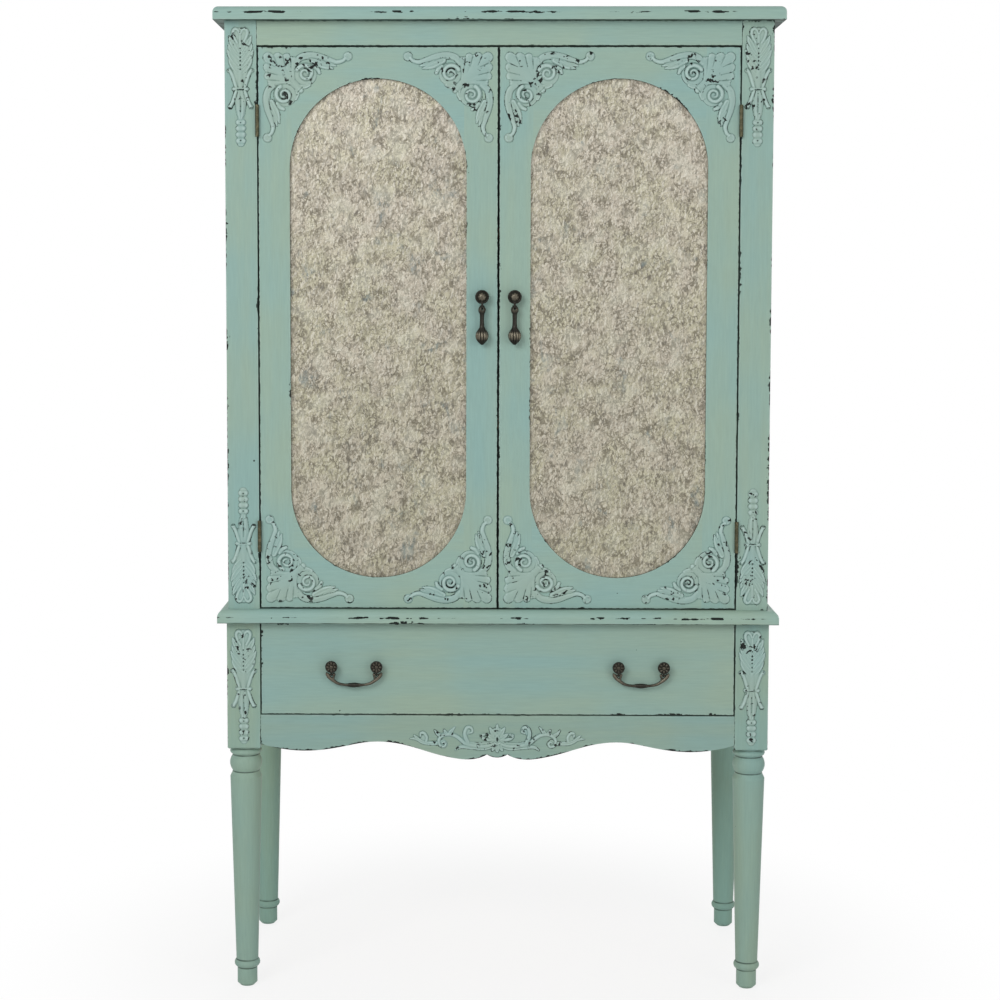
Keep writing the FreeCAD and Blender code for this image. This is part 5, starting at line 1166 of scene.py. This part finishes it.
for side, middle in (("left", -bail_middle), ("right", bail_middle)):
    low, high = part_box(f"bail_{side}")
    y = high.y - rod_back
    mesh = bpy.data.meshes.new(f"bail_{side}_path")
    mesh.from_pydata([((middle + a) * MM, y, u * MM) for a, u, r in bail_run],
                     [(i, i + 1) for i in range(len(bail_run) - 1)], [])
    mesh.attributes.new("thick", "FLOAT", "POINT").data.foreach_set(
        "value", np.array([r * MM for a, u, r in bail_run], np.float32))
    path_object = placed(f"bail_{side}_path", mesh)
    rod = made_by(rod_tree, f"bail_{side}_rod", f"bail_{side}", "dark_bronze", Path=path_object, Finish=bronze)
    bpy.data.objects.remove(path_object)
    # Painted highlight: the front of the rod is lighter, most on the arms.
    mark_rubs_and_highlights(rod, lambda point: 0.6 * held(((y - point.y) / MM - 1) / 1.8) * held(
        (abs(point.x / MM - middle) - 12) / 14 + 0.35))
    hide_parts(f"bail_{side}")
    ends = []
    for sign in (-1, 1):
        eye = Vector(((middle + sign * eye_across) * MM, y, pivot_z))
        ends.append(moved(lathed([(r * MM, h * MM) for r, h in eye_ball], 28), eye))
        ends.append(moved(lathed([(r * MM, h * MM) for r, h in eye_pin], 20), eye,
                          Matrix.Rotation(sign * math.pi / 2, 4, "Y")))
        foot = Vector(((middle + sign * branch_across) * MM, y, branch_z)) - eye
        length = foot.length / MM
        branch = curved_profile([(0, -1), (1.9, 0), (2.1, 2), (1.9, length / 2), (2.3, length - 1),
                                 (0, length)], 3)
        ends.append(moved(lathed(branch, 20), eye, foot.to_track_quat("Z", "Y").to_matrix().to_4x4()))
    piece = join_shapes(f"bail_{side}_eyes", ends, bronze, 50)
    # Painted highlight: the front of the eyes is lighter.
    mark_rubs_and_highlights(piece, lambda point: 0.5 * held(((y - point.y) / MM - 0.8) / 1.6))
    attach(piece, f"bail_{side}")
    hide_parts(f"bail_{side}")

# ---------------------------------------------------------------- floor, lamps and camera
# A sheet of pale paper for the floor, which fades into white light further out. Three large soft lamps and
# the camera stand round the cupboard.
floor_mesh = bpy.data.meshes.new("floor")
sweep = bmesh.new()
half_floor, floor_lines = 6, 13
ticks = np.linspace(-half_floor, half_floor, floor_lines)
rows = [[sweep.verts.new((x, y, 0)) for x in ticks] for y in ticks]
for under, over in zip(rows, rows[1:]):
    for a, b, c, d in zip(under, under[1:], over[1:], over):
        sweep.faces.new((a, b, c, d))
sweep.to_mesh(floor_mesh)
sweep.free()
floor = placed("floor", floor_mesh)


def in_view(tree):
    """1 for what is looked at, directly or in something shiny, and 0 for what only lights the cupboard."""
    rays = node(tree, "ShaderNodeLightPath").outputs
    mirrored = reckon("MAXIMUM", Value(rays["Is Glossy Ray"]), Value(rays["Is Transmission Ray"]))
    return reckon("MAXIMUM", Value(rays["Is Camera Ray"]), mirrored)


WHITE = (1, 1, 1, 1)
finish, shader, where = new_finish("floor_paper")
shader.inputs["Roughness"].default_value = 0.9
shader.inputs["Specular IOR Level"].default_value = 0.1
shader.inputs["Base Color"].default_value = (0.93, 0.93, 0.93, 1)
across, along, up = split(where)
out = reckon("SQRT", across * across + along * along)
tree = where.tree
share = spread(out, 0.35, 0.95, 0.8, 1.0) * in_view(tree)
white = node(tree, "ShaderNodeEmission", {"Color": WHITE, "Strength": 1.0})
mixed = node(tree, "ShaderNodeMixShader", {0: share, 1: shader.outputs[0], 2: white.outputs[0]})
tree.links.new(mixed.outputs[0], tree.nodes["Material Output"].inputs["Surface"])
floor_mesh.materials.append(finish)

world = bpy.data.worlds.new("studio")
scene.world = world
world.use_nodes = True
tree = world.node_tree
for old in list(tree.nodes):
    tree.nodes.remove(old)
soft, bright = (node(tree, "ShaderNodeBackground", {"Color": WHITE, "Strength": strength}).outputs[0]
                for strength in (0.4, 1.0))
mixed = node(tree, "ShaderNodeMixShader", {0: in_view(tree), 1: soft, 2: bright})
node(tree, "ShaderNodeOutputWorld", {"Surface": mixed.outputs[0]})

for name, place, target, width, height, watts in (
        ("key_lamp", (-1.7, -3.2, 2.6), (0, 0, 0.95), 1.8, 1.6, 60),
        ("fill_lamp", (2.2, -2.9, 1.4), (0, 0, 0.8), 1.6, 2.0, 20),
        ("back_lamp", (0.4, 3.0, 2.4), (0, 0, 1.0), 2.2, 1.6, 26)):
    light = bpy.data.lights.new(name, "AREA")
    light.shape = "RECTANGLE"
    light.size, light.size_y, light.energy = width, height, watts
    lamp = placed(name, light)
    lamp.location = place
    lamp.rotation_euler = (Vector(target) - Vector(place)).to_track_quat("-Z", "Y").to_euler()

lens = bpy.data.cameras.new("camera")
lens.sensor_width, lens.lens = 36, 72.263
lens.shift_x, lens.shift_y = 0.040, -0.070
lens.clip_end = 50
tilt, yaw, roll = math.radians(4.227), math.radians(-0.669), math.radians(0.073)
forward = Vector((math.sin(yaw) * math.cos(tilt), math.cos(yaw) * math.cos(tilt), -math.sin(tilt)))
right = Vector((math.cos(yaw), -math.sin(yaw), 0))
up = right.cross(forward)
right, up = right * math.cos(roll) + up * math.sin(roll), up * math.cos(roll) - right * math.sin(roll)
camera = placed("camera", lens)
camera.matrix_world = Matrix((right, up, -forward)).transposed().to_4x4()
camera.location = (-0.02417, -3.48805, 1.1922)
scene.camera = camera
scene.view_settings.view_transform = "Standard"

bpy.context.view_layer.update()
